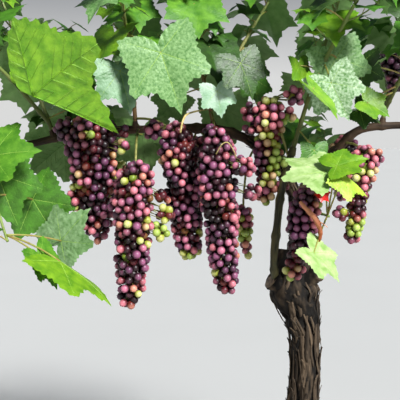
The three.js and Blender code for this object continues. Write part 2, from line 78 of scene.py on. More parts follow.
# The trunk: points up its middle, its radius at even steps, the ridges of its root flare, where its head
# starts, how many loose strips of bark lie on it and on an arm, and its stubs as (foot, end, radius).
TRUNK_PATH = [
    (0, 0, 342.3), (6, 2, 430), (17, 4, 560), (12, 2, 665), (-6, 0, 735), (-12, 2, 800), (-8, 8, 836),
]
TRUNK_RADIUS = [58, 36, 31, 28, 29, 47, 24]
FLARE_ROOTS = 5
HEAD_FROM = 0.6
STRIPS = 170
ARM_STRIPS = 26
STUBS = [
    ((-30, -12, 762), (-58, -20, 782), 19),
    ((5, -10, 770), (36, -26, 800), 15),
    ((-14, 20, 750), (-30, 52, 768), 17),
    ((10, 10, 790), (34, 30, 822), 13),
]

# The limbs: points along each, and its radius at the foot and at the tip. An arm is thicker at the foot than
# any cane, and both have a swollen joint every so many millimetres.
ARM_FROM = 12
LIMB_JOINT = 72
LIMBS = {
    "arm": ([(-8, 6, 810), (4, 14, 868), (-3, 20, 945)], 24, 19),
    "left_arm": ([(-3, 20, 939), (-26, 26, 985), (-62, 30, 1030), (-104, 32, 1062)], 14, 11),
    "left_cane": (
        [
            (-102, 32, 1060), (-170, 34, 1080), (-300, 36, 1080),
            (-440, 34, 1074), (-545, 28, 1050), (-645, 20, 1040),
        ],
        10, 6,
    ),
    "right_arm": ([(-3, 20, 941), (34, 26, 985), (76, 28, 1040)], 13, 10),
    "right_cane": ([(75, 28, 1038), (124, 28, 1080), (220, 24, 1088), (312, 14, 1080)], 9, 6),
    "side_cane": (
        [(-46, -16, 770), (-54, -32, 818), (-50, -38, 890), (-42, -40, 960), (-22, -38, 1040)], 8, 6.5,
    ),
}

# The masses of leaves: the limb that each grows from and the share of its length, the stem, its forks and
# the seed of its leaves. A shoot is (heading, lean, length, droop), and a fork has first its share of the
# stem.
MASSES = {
    "leaves_left_end": ("left_cane", 0.985, (195, 60, 150, 0.75), [(0.3, 308, 95, 215, 0.7)], 11),
    "leaves_left": (
        "left_cane", 0.72, (160, 22, 430, 0.05), [(0.08, 215, 40, 380, 0.2), (0.2, 95, 42, 330, 0.25)], 22,
    ),
    "leaves_left_middle": ("left_cane", 0.42, (120, 8, 440, 0), [(0.1, 265, 28, 390, 0.12)], 33),
    "leaves_middle": ("left_cane", 0.13, (170, 13, 430, 0), [(0.1, 32, 30, 390, 0.14)], 44),
    "leaves_tall": ("side_cane", 0.97, (20, 18, 520, 0.02), [(0.25, 300, 35, 380, 0.18)], 55),
    "leaves_right": (
        "right_cane", 0.42, (30, 14, 430, 0), [(0.08, 290, 38, 340, 0.2), (0.16, 85, 44, 350, 0.3)], 66,
    ),
    "leaves_right_end": ("right_cane", 0.985, (350, 62, 230, 0.5), [(0.2, 20, 30, 330, 0.2)], 77),
    "leaves_back_left": ("left_cane", 0.55, (90, 78, 260, 0.6), [(0.3, 140, 60, 230, 0.6)], 88),
    "leaves_back_right": ("right_arm", 0.55, (75, 66, 270, 0.5), [(0.3, 120, 50, 250, 0.45)], 99),
    "leaves_low_front": ("arm", 0.72, (292, 72, 118, 0.2), [], 110),
}

# Leaves that stand out: mass, joint of stalk and blade, where the middle lobe points, which way the upper
# side faces, reach, fold, and tint.
SHOWN_LEAVES = [
    ("leaves_left", (-496, -150, 1144), (135, 10, -49), (0.1, 0.38, 0.92), 158, 1.0, "sunlit"),
    ("leaves_left_middle", (-348, -84, 1190), (23, -14, -76), (0.2, -0.85, 0.4), 80, 0.1, "pale"),
    ("leaves_left_middle", (-271, -108, 1222), (37, -14, -105), (-0.1, -0.8, 0.5), 112, 0.12, "light"),
    ("leaves_middle", (-168, -62, 1154), (10, -8, -49), (0.1, -0.9, 0.3), 50, 0, "silver"),
    ("leaves_left_end", (-580, -118, 1036), (96, -25, 18), (-0.2, -0.8, 0.55), 92, 0.15, "fresh"),
    ("leaves_left_end", (-578, -92, 1000), (42, -15, -118), (-0.1, -0.85, 0.4), 104, 0.1, "green"),
    ("leaves_left_end", (-464, -84, 872), (57, -16, 71), (-0.3, -0.92, 0.2), 82, 0.1, "patched"),
    ("leaves_left_end", (-448, -184, 853), (100, -8, -60), (0.1, 0.08, 0.98), 116, -0.18, "sunlit"),
    ("leaves_tall", (38, -112, 1168), (32, -8, -65), (-0.35, -0.75, 0.5), 74, 0.12, "frosted"),
    ("leaves_tall", (56, -58, 1216), (33, -4, -89), (0.1, -0.9, 0.3), 86, 0.1, "light"),
    ("leaves_right", (112, -78, 1132), (42, -6, -21), (0.1, -0.8, 0.6), 48, 0.3, "sunlit"),
    ("leaves_right", (102, -62, 1119), (41, -4, -22), (0.1, -0.85, 0.4), 46, 0.1, "dark"),
    ("leaves_low_front", (22, -152, 1009), (-73, 59, 34), (0.05, -0.5, 0.86), 90, 0, "lime"),
    ("leaves_low_front", (3, -174, 867), (53, -10, -46), (0.15, -0.42, 0.9), 68, 0.12, "lime"),
    ("leaves_middle", (-124, -62, 1206), (24, -16, -60), (0.2, -0.85, 0.4), 70, 0.1, "dark"),
    ("leaves_middle", (-150, 78, 1119), (21, 6, -100), (0.1, 0.9, 0.4), 84, 0.1, "green"),
    ("leaves_middle", (-95, 34, 1182), (22, -12, -66), (0.5, -0.7, 0.4), 62, 0.1, "green"),
    ("leaves_tall", (15, -76, 1043), (2, -8, -42), (0.2, -0.85, 0.4), 44, 0.1, "green"),
    ("leaves_back_left", (-484, 78, 1048), (-78, 6, -63), (-0.1, 0.97, 0.15), 96, 0.1, "dark"),
    ("leaves_back_left", (-319, 78, 1067), (6, 6, -96), (0.1, 0.9, 0.35), 92, 0.1, "light"),
    ("leaves_left", (-430, 14, 1130), (-47, 2, -6), (0, -0.9, 0.4), 46, 0.1, "dark"),
    ("leaves_tall", (-14, -70, 1201), (12, -6, -44), (0.7, -0.65, 0.2), 48, 0.1, "sunlit"),
    ("leaves_right", (107, -30, 1206), (6, -6, -63), (-0.4, -0.8, 0.3), 62, 0.1, "dark"),
    ("leaves_middle", (-252, 84, 1142), (-36, 6, -47), (0.1, 0.95, 0.2), 60, 0.1, "dark"),
]

# Leaves that the part's source leaves out, in the same columns.
SMALL_LEAVES = [
    ("leaves_low_front", (42, -164, 1021), (66, 4, 22), (0.05, -0.5, 0.86), 58, 0.15, "sunlit"),
    ("leaves_low_front", (54, -172, 1006), (54, -2, -36), (0.1, -0.3, 0.95), 56, -0.5, "yellow"),
    ("leaves_left_end", (-522, -56, 948), (46, 2, -84), (-0.25, -0.85, 0.45), 98, 0.1, "green"),
    ("leaves_left_end", (-485, -176, 861), (40, 0, -64), (0.9, -0.35, 0.3), 66, 0.15, "fresh"),
    ("leaves_tall", (3, -128, 1155), (56, -4, -50), (0.62, -0.42, 0.66), 68, 0.3, "sunlit"),
]

# A dried curl of stem before the trunk, a straw-coloured stalk and thread among the middle bunches, and a
# scrap of red leaf.
DRIED_STEM = [
    (-19, -140, 954), (-10, -144, 944), (4, -147, 929), (14, -149, 914), (18, -149, 897), (15, -145, 876),
]
STRAW_STALK = [(-237, -56, 1076), (-236, -58, 1084), (-232, -50, 1100), (-222, -28, 1112), (-181, 35, 1122)]
STRAW_THREAD = [
    (-170, -96, 1038), (-165, -103, 1048), (-159, -108, 1057), (-150, -109, 1060), (-143, -107, 1053),
    (-136, -100, 1041), (-133, -92, 1032),
]
DRIED_SPUR = [DRIED_STEM[3], (18, -154, 918), (29, -158, 910)]
RED_SCRAP = ((14, -174, 984), (13, -183, 974), (15, -3, -14), (0.2, -0.9, 0.3), 19, 0.3, 0.2, 0.1, 0.0)

# What is known of a leaf: where its stalk starts, the joint of stalk and blade, where the middle lobe points,
# which way the upper side faces, the reach in mm, and the four numbers of the blade's form.
LEAF_PLACES = ("start", "joint", "aim", "face")
LEAF_NUMBERS = ("reach", "fold", "droop", "wave", "puff")

# A blade's rim: the angle from the midrib in degrees and the reach as a share, by turns at a lobe and a bay.
OUTLINE = np.array([(0, 1), (27, 0.66), (52, 0.88), (81, 0.6), (124, 0.72), (180, 0.14)])
MAIN_VEINS = np.radians([0, 52, -52, 124, -124])

# The veins, as shares of a blade's reach: half the width of a main vein and of a side vein at the foot, and
# the step between side veins. Then the angle at which these leave a main vein, and about its cotangent.
VEIN_HALF = 0.007
SIDE_VEIN_HALF = 0.003
VEIN_STEP = 0.125
VEIN_ANGLE = np.radians(49.6)
VEIN_SLOPE = 0.85

# The corners of half a blade's rim, in degrees from the midrib, for the leaves of the rule and small ones,
# and the corners and rings of a blade that stands out.
COARSE = [0, 9, 16, 21, 27, 39, 52, 60, 68, 74, 81, 92, 103, 113, 124, 137, 149, 163, 180]
SMALL = [0, 14, 27, 40, 52, 67, 81, 102, 124, 150, 180]
FINE_CORNERS = 144
FINE_RINGS = 11

# The shoots: the way between two leaves in mm, the share of a shoot at its first leaf, and the reach of a
# grown leaf.
INTERNODE = 43
FIRST_LEAF = 0.22
LEAF_REACH = 88

# The tints that are dealt out over the leaves of the rule and the small leaves, and the odds of each.
SPRAY = ("green", "dark", "fresh", "light", "sunlit")
GROWN_ODDS = (0.42, 0.22, 0.22, 0.08, 0.06)
YOUNG_ODDS = (0.3, 0.08, 0.4, 0.12, 0.1)

# Small leaves may stand this far past their mass's box, keep this clear of a grape's middle, and stay out of
# the space before the fruit, which lies below its top, before its back and to the right of its left end.
PAST_BOX = 12
GRAPE_CLEAR = 24
FRUIT = {"top": 1185, "back": 30, "left": -640}

# The bunches: what each hangs from and the share of it, the shoulder's width, the top and the tip, the wings
# (across, depth, drop, radius), how ripe it is, and where it is least ripe (across, drop, radius).
BUNCHES = {
    "bunch_left": (
        "leaves_left", 0.05, 106, (-412, -34, 1091), (-402, -38, 877),
        [
            (-44, -2, -11, 28), (41, -12, -5, 21), (62, -4, -17, 20), (68, -18, -42, 18),
            (-29, -6, -145, 23), (15, -4, -217, 18),
        ],
        0.1, [(-8, -16, 12), (0, -126, 12), (8, -185, 14), (19, -230, 18)],
    ),
    "bunch_left_low": (
        "left_cane", 0.41, 84, (-320, -88, 1014), (-333, -92, 742),
        [(47, 4, -55, 22), (55, 6, -91, 23), (44, 4, -124, 21), (-43, 4, -72, 15)],
        -0.1, [(54, -79, 23), (44, -117, 22), (-20, -109, 12), (6, -214, 10), (6, -9, 10)],
    ),
    "bunch_middle_left": (
        "leaves_left_middle", 0.05, 87, (-247, -12, 1083), (-219, -16, 823),
        [(-45, -2, -5, 25)],
        0.05, [(20, -26, 12), (6, -44, 12), (17, -198, 10), (46, -222, 12), (26, -251, 17)],
    ),
    "bunch_middle": (
        "leaves_middle", 0.08, 82, (-174, -62, 1085), (-148, -66, 760),
        [(54, -22, -75, 26), (24, -12, -163, 28), (65, -16, -124, 21), (76, -10, -116, 16)],
        0.25, [(2, -14, 11), (41, -52, 16), (70, -140, 16), (50, -215, 12), (29, -291, 10), (26, -325, 10)],
    ),
    "bunch_middle_right": (
        "side_cane", 0.93, 66, (-62, -26, 1139), (-72, -30, 934),
        [
            (-38, 0, -26, 23), (43, -8, 7, 22), (22, -4, -171, 17), (20, -6, -125, 19),
            (-38, 12, -58, 20), (35, -4, -30, 19),
        ],
        -0.7, [(32, -42, 13), (6, -82, 13), (20, -112, 16), (12, -148, 17), (10, -180, 20), (-14, -200, 11)],
    ),
    "bunch_behind": ("left_arm", 0.8, 44, (-112, 62, 915), (-101, 60, 808), [], -0.5, [(6, -50, 40)]),
    # bunch_trunk hangs in the shade of the leaves: its ripeness is set high partly for its own dark grapes
    # and partly as painted shade.
    "bunch_trunk": (
        "arm", 0.82, 66, (4, -92, 964), (-27, -98, 798),
        [],
        0.6, [(12, -22, 12), (-8, -50, 12), (-24, -150, 20)],
    ),
    "bunch_right": (
        "right_cane", 0.08, 62, (123, -32, 1043), (94, -36, 856),
        [(19, 2, -15, 19), (-45, -6, -124, 21)],
        -0.9, [(14, -60, 12), (-16, -100, 9), (-16, -150, 12)],
    ),
    "bunch_far_right": (
        "leaves_right", 0.4, 60, (183, 24, 1236), (190, 20, 1152),
        [],
        1.2, [],
    ),
    "bunch_far_left": ("left_cane", 0.93, 70, (-650, 70, 1030), (-660, 74, 860), [], 0.1, [(0, -120, 30)]),
    "bunch_back_left": (
        "leaves_back_left", 0.36, 82, (-400, 142, 1060), (-398, 148, 905), [], 0.1, [(20, -60, 24)],
    ),
    "bunch_back_middle": (
        "left_cane", 0.17, 82, (-216, 104, 1050), (-212, 108, 898), [], 0.2, [(-14, -40, 20), (10, -120, 24)],
    ),
    "bunch_back_right": (
        "right_arm", 0.7, 74, (106, 108, 1050), (108, 112, 925), [], 0.0, [(0, -100, 26)],
    ),
    "bunch_right_end": (
        "right_cane", 0.9, 70, (292, -34, 1040), (296, -38, 880), [], 0.1, [(-12, -40, 18), (6, -130, 24)],
    ),
}

# A bunch's outline: its width at both ends as a share of its shoulder's, the shoulder's place down the bunch
# and the power by which it narrows below. Then how unripe a grape is where one finish gives way to the next.
TIP_SHARE = 0.55
SHOULDER_AT = 0.16
NARROWING = 1.8
RIPENESS_STEPS = [-0.9, -0.05, 0.75, 1.4, 1.7, 1.9, 2.6]

# How a bunch is filled: how many places are thrown about it, and how many are tried for the outer layer, the
# fill and the inner layer. Then how close grapes may lie, in radii: as thrown, as pushed apart, as filled in,
# as pushed apart again, and inside.
CLOUD, OUTER_TRIES, FILL_TRIES, INNER_TRIES = 60000, 5000, 4000, 6000
THROWN_GAP, EASED_GAP, FILL_GAP, SETTLED_GAP, INNER_GAP = 1.62, 2.02, 1.7, 1.98, 1.42

# The studio, in metres: the sun's direction, the width of its disc in degrees and its power, and a large weak
# lamp from the left. Then the sky's light at the horizon and high up, the floor, and the camera, with its
# tilt in degrees and its lens and sensor in millimetres.
SUN = {"from": (0.78, -1.05, 1.15), "disc": 14, "power": 6.2}
FILL = {"from": (-2.4, -2.4, 1.7), "towards": (-0.2, 0, 0.95), "width": 2.2, "power": 3}
HORIZON = (0.70, 0.705, 0.70)
ZENITH = (0.09, 0.105, 0.14)
FLOOR = {"reach": 20, "thick": 0.02, "corners": 96}
CAMERA = {"from": (-0.2, -1.4888, 1.1228), "down": 7, "lens": 67.5, "sensor": 36}


def colour(red, green, blue):
    """A colour from 0 to 255 a channel, as the even numbers that light is worked out in."""
    part = np.array([red, green, blue]) / 255
    return tuple(float(c) for c in np.where(part < 0.04045, part / 12.92, ((part + 0.055) / 1.055) ** 2.4))


def measure(text, default, what):
    """A length that a user may change."""
    return FloatProperty(name=text, description=what, default=default * MM, min=0, unit="LENGTH")


def paint(text, shade, what):
    """A colour that a user may change."""
    return FloatVectorProperty(
        name=text, description=what, default=colour(*shade), size=3, min=0, max=1, subtype="COLOR"
    )


class VineSizes(bpy.types.PropertyGroup):
    """Sizes of the vine's small parts."""

    grape: measure("Grape", 7.7, "Radius of a ripe grape")
    blade: measure("Blade", 0.7, "Thickness of a leaf where its veins meet")
    shoot_foot: measure("Shoot's foot", 4.6, "Radius of a green shoot where it leaves the wood")
    shoot_tip: measure("Shoot's tip", 2.2, "Radius of a green shoot at its tip")
    stalk: measure("Leaf stalk", 1.5, "Radius of a leaf's stalk")
    bark: measure("Bark relief", 3.2, "Height of the plates of bark on the trunk")
    clods: measure("Soil relief", 3.0, "Height of the clods on the soil")
    teeth: IntProperty(name="Teeth", description="Teeth round a leaf's rim", default=38, min=8)


class VineColours(bpy.types.PropertyGroup):
    """Colours of the vine, its pot and the floor."""

    clay: paint("Clay", (176, 98, 64), "Fired clay of the pot")
    soil: paint("Soil", (66, 46, 32), "Damp soil")
    bark: paint("Bark", (100, 84, 66), "Lit plates of the old bark")
    cane: paint("Cane", (84, 64, 44), "Bark of the canes")
    leaf: paint("Leaf", (78, 136, 34), "Upper side of a grown leaf")
    grape: paint("Grape", (118, 46, 68), "Skin of a grape that has turned")
    unripe: paint("Unripe grape", (166, 172, 62), "Skin of a grape that is still green")
    floor: paint("Floor", (192, 193, 191), "Studio floor")


def sizes():
    """The sizes in use, in millimetres."""
    kept = bpy.context.scene.vine_sizes
    names = ("grape", "blade", "shoot_foot", "shoot_tip", "stalk", "bark", "clods")
    return {name: getattr(kept, name) / MM for name in names} | {"teeth": kept.teeth}


def colour_of(name):
    """A colour in use."""
    return tuple(getattr(bpy.context.scene.vine_colours, name))


def unit(ways):
    """Directions brought to a length of one."""
    return ways / np.maximum(np.linalg.norm(ways, axis=-1, keepdims=True), 1e-9)


def dot(a, b):
    """The dot product of directions, kept as a last axis of one."""
    return np.sum(a * b, axis=-1, keepdims=True)


def seeded(seed):
    """A repeatable run of numbers from 0 to 1: each state is 1664525 times the last plus 1013904223, cut to
    32 bits."""
    state = seed
    while True:
        state = (state * 1664525 + 1013904223) % 2**32
        yield state / 2**32


def lumps(around, along, cells, seed):
    """Smooth random heights from -1 to 1: random numbers at the corners of a lattice, joined by the curve
    3f² - 2f³. around runs from 0 to 1 and closes on itself after that many cells."""
    lattice = np.random.default_rng(seed).uniform(-1, 1, (512, cells))
    a, b = np.broadcast_arrays(around * cells, along)
    i, j = np.floor(a).astype(int), np.floor(b).astype(int)
    f, g = a - i, b - j
    f, g = f * f * (3 - 2 * f), g * g * (3 - 2 * g)
    low = lattice[j % 512, i % cells] * (1 - f) + lattice[j % 512, (i + 1) % cells] * f
    high = lattice[(j + 1) % 512, i % cells] * (1 - f) + lattice[(j + 1) % 512, (i + 1) % cells] * f
    return low * (1 - g) + high * g


class Path:
    """A smooth curve through points, as in the part's source: each span is the cubic whose slope at a point
    is half the way between that point's neighbours. It is read by share of its length."""

    def __init__(self, points):
        p = np.array(points, float)
        ends = np.vstack([2 * p[0] - p[1], p, 2 * p[-1] - p[-2]])
        t = np.linspace(0, len(p) - 1, 120 * (len(p) - 1) + 1)
        i = np.minimum(t.astype(int), len(p) - 2)
        u = (t - i)[:, None]
        before, here, there, after = (ends[i + k] for k in range(4))
        slope, later = (there - before) / 2, (after - here) / 2
        self.dots = (
            (2 * u**3 - 3 * u**2 + 1) * here + (u**3 - 2 * u**2 + u) * slope
            + (3 * u**2 - 2 * u**3) * there + (u**3 - u**2) * later
        )
        steps = np.linalg.norm(np.diff(self.dots, axis=0), axis=1)
        self.run = np.concatenate([[0], np.cumsum(steps)])
        self.length = self.run[-1]
        way = np.abs(p[-1] - p[0])
        self.side = np.eye(3)[np.argmin(way)]

    def at(self, share):
        """Places at shares of the length."""
        run = np.asarray(share) * self.length
        return np.stack([np.interp(run, self.run, self.dots[:, k]) for k in range(3)], axis=-1)

    def ahead(self, share):
        """Directions of the curve at shares of its length."""
        share = np.asarray(share)
        return unit(self.at(np.minimum(share + 2e-3, 1)) - self.at(np.maximum(share - 2e-3, 0)))

    def round(self, share, angle, radius):
        """Places round the curve: from the place at a share, by radius in the direction
        cos(angle)·side + sin(angle)·across."""
        share, angle, radius = np.broadcast_arrays(share, angle, radius)
        ahead = self.ahead(share)
        side = unit(self.side - dot(ahead, self.side) * ahead)
        across = np.cross(ahead, side)
        out = np.cos(angle)[..., None] * side + np.sin(angle)[..., None] * across
        return self.at(share) + out * radius[..., None]


def heading_way(angle):
    """The level direction at an angle from +X."""
    return np.array([np.cos(angle), np.sin(angle), 0])


def grid(rows, columns):
    """Shares from 0 to 1 down the rows of a grid, and angles once round its columns."""
    return np.linspace(0, 1, rows)[:, None], np.arange(columns)[None] * TURN / columns


def tree_of(places):
    """Places in a tree, for finding the nearest one to a place."""
    tree = KDTree(len(places))
    for number, place in enumerate(places):
        tree.insert(place, number)
    tree.balance()
    return tree


def skin_faces(rows, columns):
    """Faces of a grid that closes round its columns and has a point before its first row and one after its
    last: quads between rows, and triangles at the two ends."""
    r, c = np.meshgrid(np.arange(rows - 1), np.arange(columns), indexing="ij")
    n = (c + 1) % columns
    quads = np.stack([r * columns + c, r * columns + n, (r + 1) * columns + n, (r + 1) * columns + c], -1)
    c = np.arange(columns)
    n = (c + 1) % columns
    foot = np.stack([np.full(columns, rows * columns), n, c], -1)
    last = (rows - 1) * columns
    tip = np.stack([np.full(columns, rows * columns + 1), last + c, last + n], -1)
    return [quads.reshape(-1, 4), np.concatenate([foot, tip])]


class Heap:
    """Meshes gathered for one piece: their places in millimetres, faces as corner numbers, a finish for each
    face, and for each corner its shade from 0 to 1 and whether it lies on a sharp rim."""

    def __init__(self):
        self.places, self.shades, self.rims, self.faces, self.finishes = [], [], [], [], []
        self.count = 0

    def add(self, places, faces, finish=0, shade=0.5, rim=False):
        """Adds copies of one mesh: places are (copies, corners, 3), and faces a list of arrays. finish is
        one number, an array with one for each copy, or a list with one of either for each array."""
        places = places.reshape((-1,) + places.shape[-2:])
        copies, corners = places.shape[:2]
        first = self.count + corners * np.arange(copies)
        finish = finish if isinstance(finish, list) else [finish] * len(faces)
        for corner, one in zip(faces, finish):
            self.faces.append((corner[None] + first[:, None, None]).reshape(-1, corner.shape[1]))
            each = np.broadcast_to(np.asarray(one, np.int32).reshape(-1, 1), (copies, len(corner)))
            self.finishes.append(each.ravel())
        self.places.append(places.reshape(-1, 3))
        self.shades.append(np.broadcast_to(shade, (copies, corners)).ravel())
        self.rims.append(np.broadcast_to(rim, (copies, corners)).ravel())
        self.count += copies * corners

    def piece(self, name, finishes, slot, *nodes):
        """Makes the gathered meshes one object of the plant, which stands for the nodes."""
        mesh = bpy.data.meshes.new(name)
        mesh.vertices.add(self.count)
        mesh.vertices.foreach_set("co", (np.concatenate(self.places) * MM).astype(np.float32).ravel())
        ends = np.cumsum(np.concatenate([np.full(len(f), f.shape[1]) for f in self.faces]))
        mesh.loops.add(int(ends[-1]))
        corners = np.concatenate([f.ravel() for f in self.faces])
        mesh.loops.foreach_set("vertex_index", corners.astype(np.int32))
        mesh.polygons.add(len(ends))
        mesh.polygons.foreach_set("loop_start", np.concatenate([[0], ends[:-1]]).astype(np.int32))
        mesh.polygons.foreach_set("material_index", np.concatenate(self.finishes).astype(np.int32))
        mesh.polygons.foreach_set("use_smooth", np.full(len(ends), True))
        for skin in finishes:
            mesh.materials.append(skin)
        mesh.update(calc_edges=True)
        # The shades go into the attribute height: painted shade on the grapes and the bark, and the change of
        # colour along the shoots and the dried stem.
        depth = mesh.attributes.new("height", "FLOAT", "POINT")
        depth.data.foreach_set("value", np.concatenate(self.shades).astype(np.float32))
        rims = np.concatenate(self.rims)
        if rims.any():
            edges = np.zeros(2 * len(mesh.edges), np.int32)
            mesh.edges.foreach_get("vertices", edges)
            sharp = mesh.attributes.new("sharp_edge", "BOOLEAN", "EDGE")
            sharp.data.foreach_set("value", rims[edges].reshape(-1, 2).all(axis=1))
        made = bpy.data.objects.new(name, mesh)
        bpy.context.scene.collection.objects.link(made)
        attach(made, "root")
        if nodes:
            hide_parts(*nodes)
        return made


def tube(heap, path, radius, rows, columns, finish=0, shade=0.5):
    """Adds a closed tube round a path. radius and shade are numbers or grids of rows by columns."""
    share, angle = grid(rows, columns)
    skin = path.round(share, angle, radius).reshape(-1, 3)
    places = np.vstack([skin, path.at([0, 1])])
    shade = np.broadcast_to(shade, (rows, columns)).ravel()
    heap.add(places, skin_faces(rows, columns), finish, np.append(shade, [shade[0], shade[-1]]))


def add_hoses(heap, start, bend, end, foot, tip, rows, columns, finish=0):
    """Adds many closed tubes at once, whose radius goes from foot to tip, along the curves
    (1-s)²·start + 2s(1-s)·bend + s²·end."""
    s = np.linspace(0, 1, rows)[None, :, None]
    start, bend, end = (np.asarray(a, float)[:, None] for a in (start, bend, end))
    dots = (1 - s) ** 2 * start + 2 * s * (1 - s) * bend + s**2 * end
    ahead = unit(2 * (1 - s) * (bend - start) + 2 * s * (end - bend))
    lead = unit(np.cross(end - start, np.array([0.31, 0.52, 0.79])))
    side = unit(lead - dot(lead, ahead) * ahead)
    across = np.cross(ahead, side)
    angle = (np.arange(columns) * TURN / columns)[None, None, :, None]
    foot, tip = (np.reshape(a, (-1, 1, 1, 1)) for a in (foot, tip))
    radius = foot * (1 - s[..., None]) + tip * s[..., None]
    out = np.cos(angle) * side[:, :, None] + np.sin(angle) * across[:, :, None]
    skin = (dots[:, :, None] + radius * out).reshape(len(dots), -1, 3)
    heap.add(np.concatenate([skin, dots[:, :1], dots[:, -1:]], axis=1), skin_faces(rows, columns), finish)


# The materials. Each is made once, and its patterns read Object coordinates or the shade that the piece keeps
# in its attribute height, which is painted shade on the grapes and the bark.
@functools.cache
def material(
    name, light, dark, grain=60.0, middle=0.5, soft=0.2, rough=0.5, relief=0.2, fine=4.0,
    stretch=(1, 1, 1), depth=0.0, gloss=0.5, inner=0.0,
):
    """A material: clouds of noise choose between two colours, and finer noise shifts the roughness and lifts
    the surface. With depth, the colour also follows the shade that the piece keeps in its attribute height."""
    made = bpy.data.materials.new(name)
    made.use_nodes = True
    nodes, links = made.node_tree.nodes, made.node_tree.links
    skin = nodes["Principled BSDF"]
    skin.inputs["Specular IOR Level"].default_value = gloss
    skin.inputs["Subsurface Weight"].default_value = inner
    skin.inputs["Subsurface Radius"].default_value = (0.004, 0.0015, 0.001)
    place, turn = nodes.new("ShaderNodeTexCoord"), nodes.new("ShaderNodeMapping")
    turn.inputs["Scale"].default_value = stretch
    links.new(place.outputs["Object"], turn.inputs["Vector"])
    clouds, grit = nodes.new("ShaderNodeTexNoise"), nodes.new("ShaderNodeTexNoise")
    for noise, cells in ((clouds, grain), (grit, grain * fine)):
        noise.inputs["Scale"].default_value = cells
        noise.inputs["Detail"].default_value = 4
        links.new(turn.outputs["Vector"], noise.inputs["Vector"])
    level = clouds.outputs["Fac"]
    if depth:
        kept_shades, mixed = nodes.new("ShaderNodeAttribute"), nodes.new("ShaderNodeMix")
        kept_shades.attribute_name = "height"
        mixed.inputs[0].default_value = depth
        links.new(clouds.outputs["Fac"], mixed.inputs[2])
        links.new(kept_shades.outputs["Fac"], mixed.inputs[3])
        level = mixed.outputs[0]
    ramp = nodes.new("ShaderNodeValToRGB")
    for stop, where, what in zip(ramp.color_ramp.elements, (middle - soft, middle + soft), (dark, light)):
        stop.position, stop.color = where, (*what, 1)
    links.new(level, ramp.inputs["Fac"])
    links.new(ramp.outputs["Color"], skin.inputs["Base Color"])
    wear = nodes.new("ShaderNodeMapRange")
    wear.inputs["To Min"].default_value, wear.inputs["To Max"].default_value = rough - 0.1, rough + 0.1
    links.new(grit.outputs["Fac"], wear.inputs["Value"])
    links.new(wear.outputs["Result"], skin.inputs["Roughness"])
    bump = nodes.new("ShaderNodeBump")
    bump.inputs["Strength"].default_value, bump.inputs["Distance"].default_value = relief, 0.001
    links.new(grit.outputs["Fac"], bump.inputs["Height"])
    links.new(bump.outputs["Normal"], skin.inputs["Normal"])
    return made


def toned(base, gain=1.0, towards=(1, 1, 1), share=0.0):
    """A colour made lighter or darker, then drawn towards another by a share."""
    return tuple(min(1.0, b * gain * (1 - share) + t * share) for b, t in zip(base, towards))


def leaf_finishes():
    """The leaves' finishes, tints first and then underside and veins, and each tint's number among them. Some
    tints paint light: a darker copy of the leaf colour for leaves in shade, and pale ones for the sky's
    reflection on a blade.
    """
    leaf = colour_of("leaf")
    tints = {
        "sunlit": (colour(122, 166, 32), colour(84, 134, 20)),
        "fresh": (colour(98, 150, 38), colour(62, 116, 22)),
        "light": (colour(144, 182, 118), colour(64, 116, 44)),
        "green": (leaf, toned(leaf, 0.55)),
        # A darker copy of the leaf colour: painted shade on the shown leaves that lie in the shade of others,
        # and a darker tone dealt out at random over the rest.
        "dark": (toned(leaf, 0.42), toned(leaf, 0.2)),
        # Pale grey-green: painted reflection of the sky on the blade.
        "pale": (colour(134, 170, 134), colour(82, 126, 74)),
        "lime": (colour(188, 210, 148), colour(132, 168, 88)),
        "backlit": (colour(138, 190, 40), colour(96, 154, 20)),
        "yellow": (colour(178, 202, 64), colour(136, 174, 38)),
        # White patches of painted reflection of the sky.
        "frosted": (colour(206, 228, 194), colour(84, 134, 62)),
        # Pale patches of painted reflection of the sky, on a blade lightened as painted light where others
        # shade it.
        "patched": (colour(146, 178, 128), colour(66, 108, 44)),
        # Pale grey-green made brighter than pale: painted reflection of the sky, and painted light against
        # the shade that falls on the blade.
        "silver": (colour(178, 204, 180), colour(132, 170, 134)),
    }
    patches = {"frosted": (210, 0.2), "light": (210, 0.24), "patched": (110, 0.26)}
    dimples = 260
    made = []
    for name, (light, dark) in tints.items():
        cells, soft = patches.get(name, (55, 0.16))
        made.append(material(f"leaf {name}", light, dark, cells, 0.52, soft, 0.46, 0.8, dimples / cells))
    below, rib = (colour(128, 166, 96), colour(102, 144, 74)), (colour(164, 198, 92), colour(130, 172, 62))
    made.append(material("leaf underside", *below, 60, rough=0.62, relief=0.3))
    made.append(material("leaf veins", *rib, 60, rough=0.5, relief=0.1))
    return made, {name: i for i, name in enumerate(tints)}


def grape_finishes():
    """The grapes' finishes, from the ripest to the greenest. The lighter colour of each is its bloom, on the
    open sides of the bunch; the darker is the bare skin, made darker still and laid deep in the bunch as
    painted shade.
    """
    ripe, green = colour_of("grape"), colour_of("unripe")
    skins = [
        (toned(ripe, 0.04), colour(116, 64, 98)),
        (toned(ripe, 0.08), colour(162, 92, 130)),
        (toned(ripe, 0.16), colour(214, 124, 152)),
        (colour(80, 18, 28), colour(240, 140, 154)),
        (colour(100, 34, 28), colour(242, 162, 138)),
        (colour(116, 74, 34), colour(242, 206, 154)),
        (toned(green, 0.85), colour(222, 222, 150)),
        (toned(green, 0.55, colour(104, 156, 34), 0.3), colour(186, 212, 106)),
    ]
    names = ("night", "purple", "wine", "rose", "copper", "amber", "green", "grass")
    return [
        material(f"grape {name}", bloom, skin, 70, 0.66, 0.3, 0.42, 0.05, 6, (1, 1, 1), 0.74, 0.55, 0.04)
        for name, (skin, bloom) in zip(names, skins)
    ]


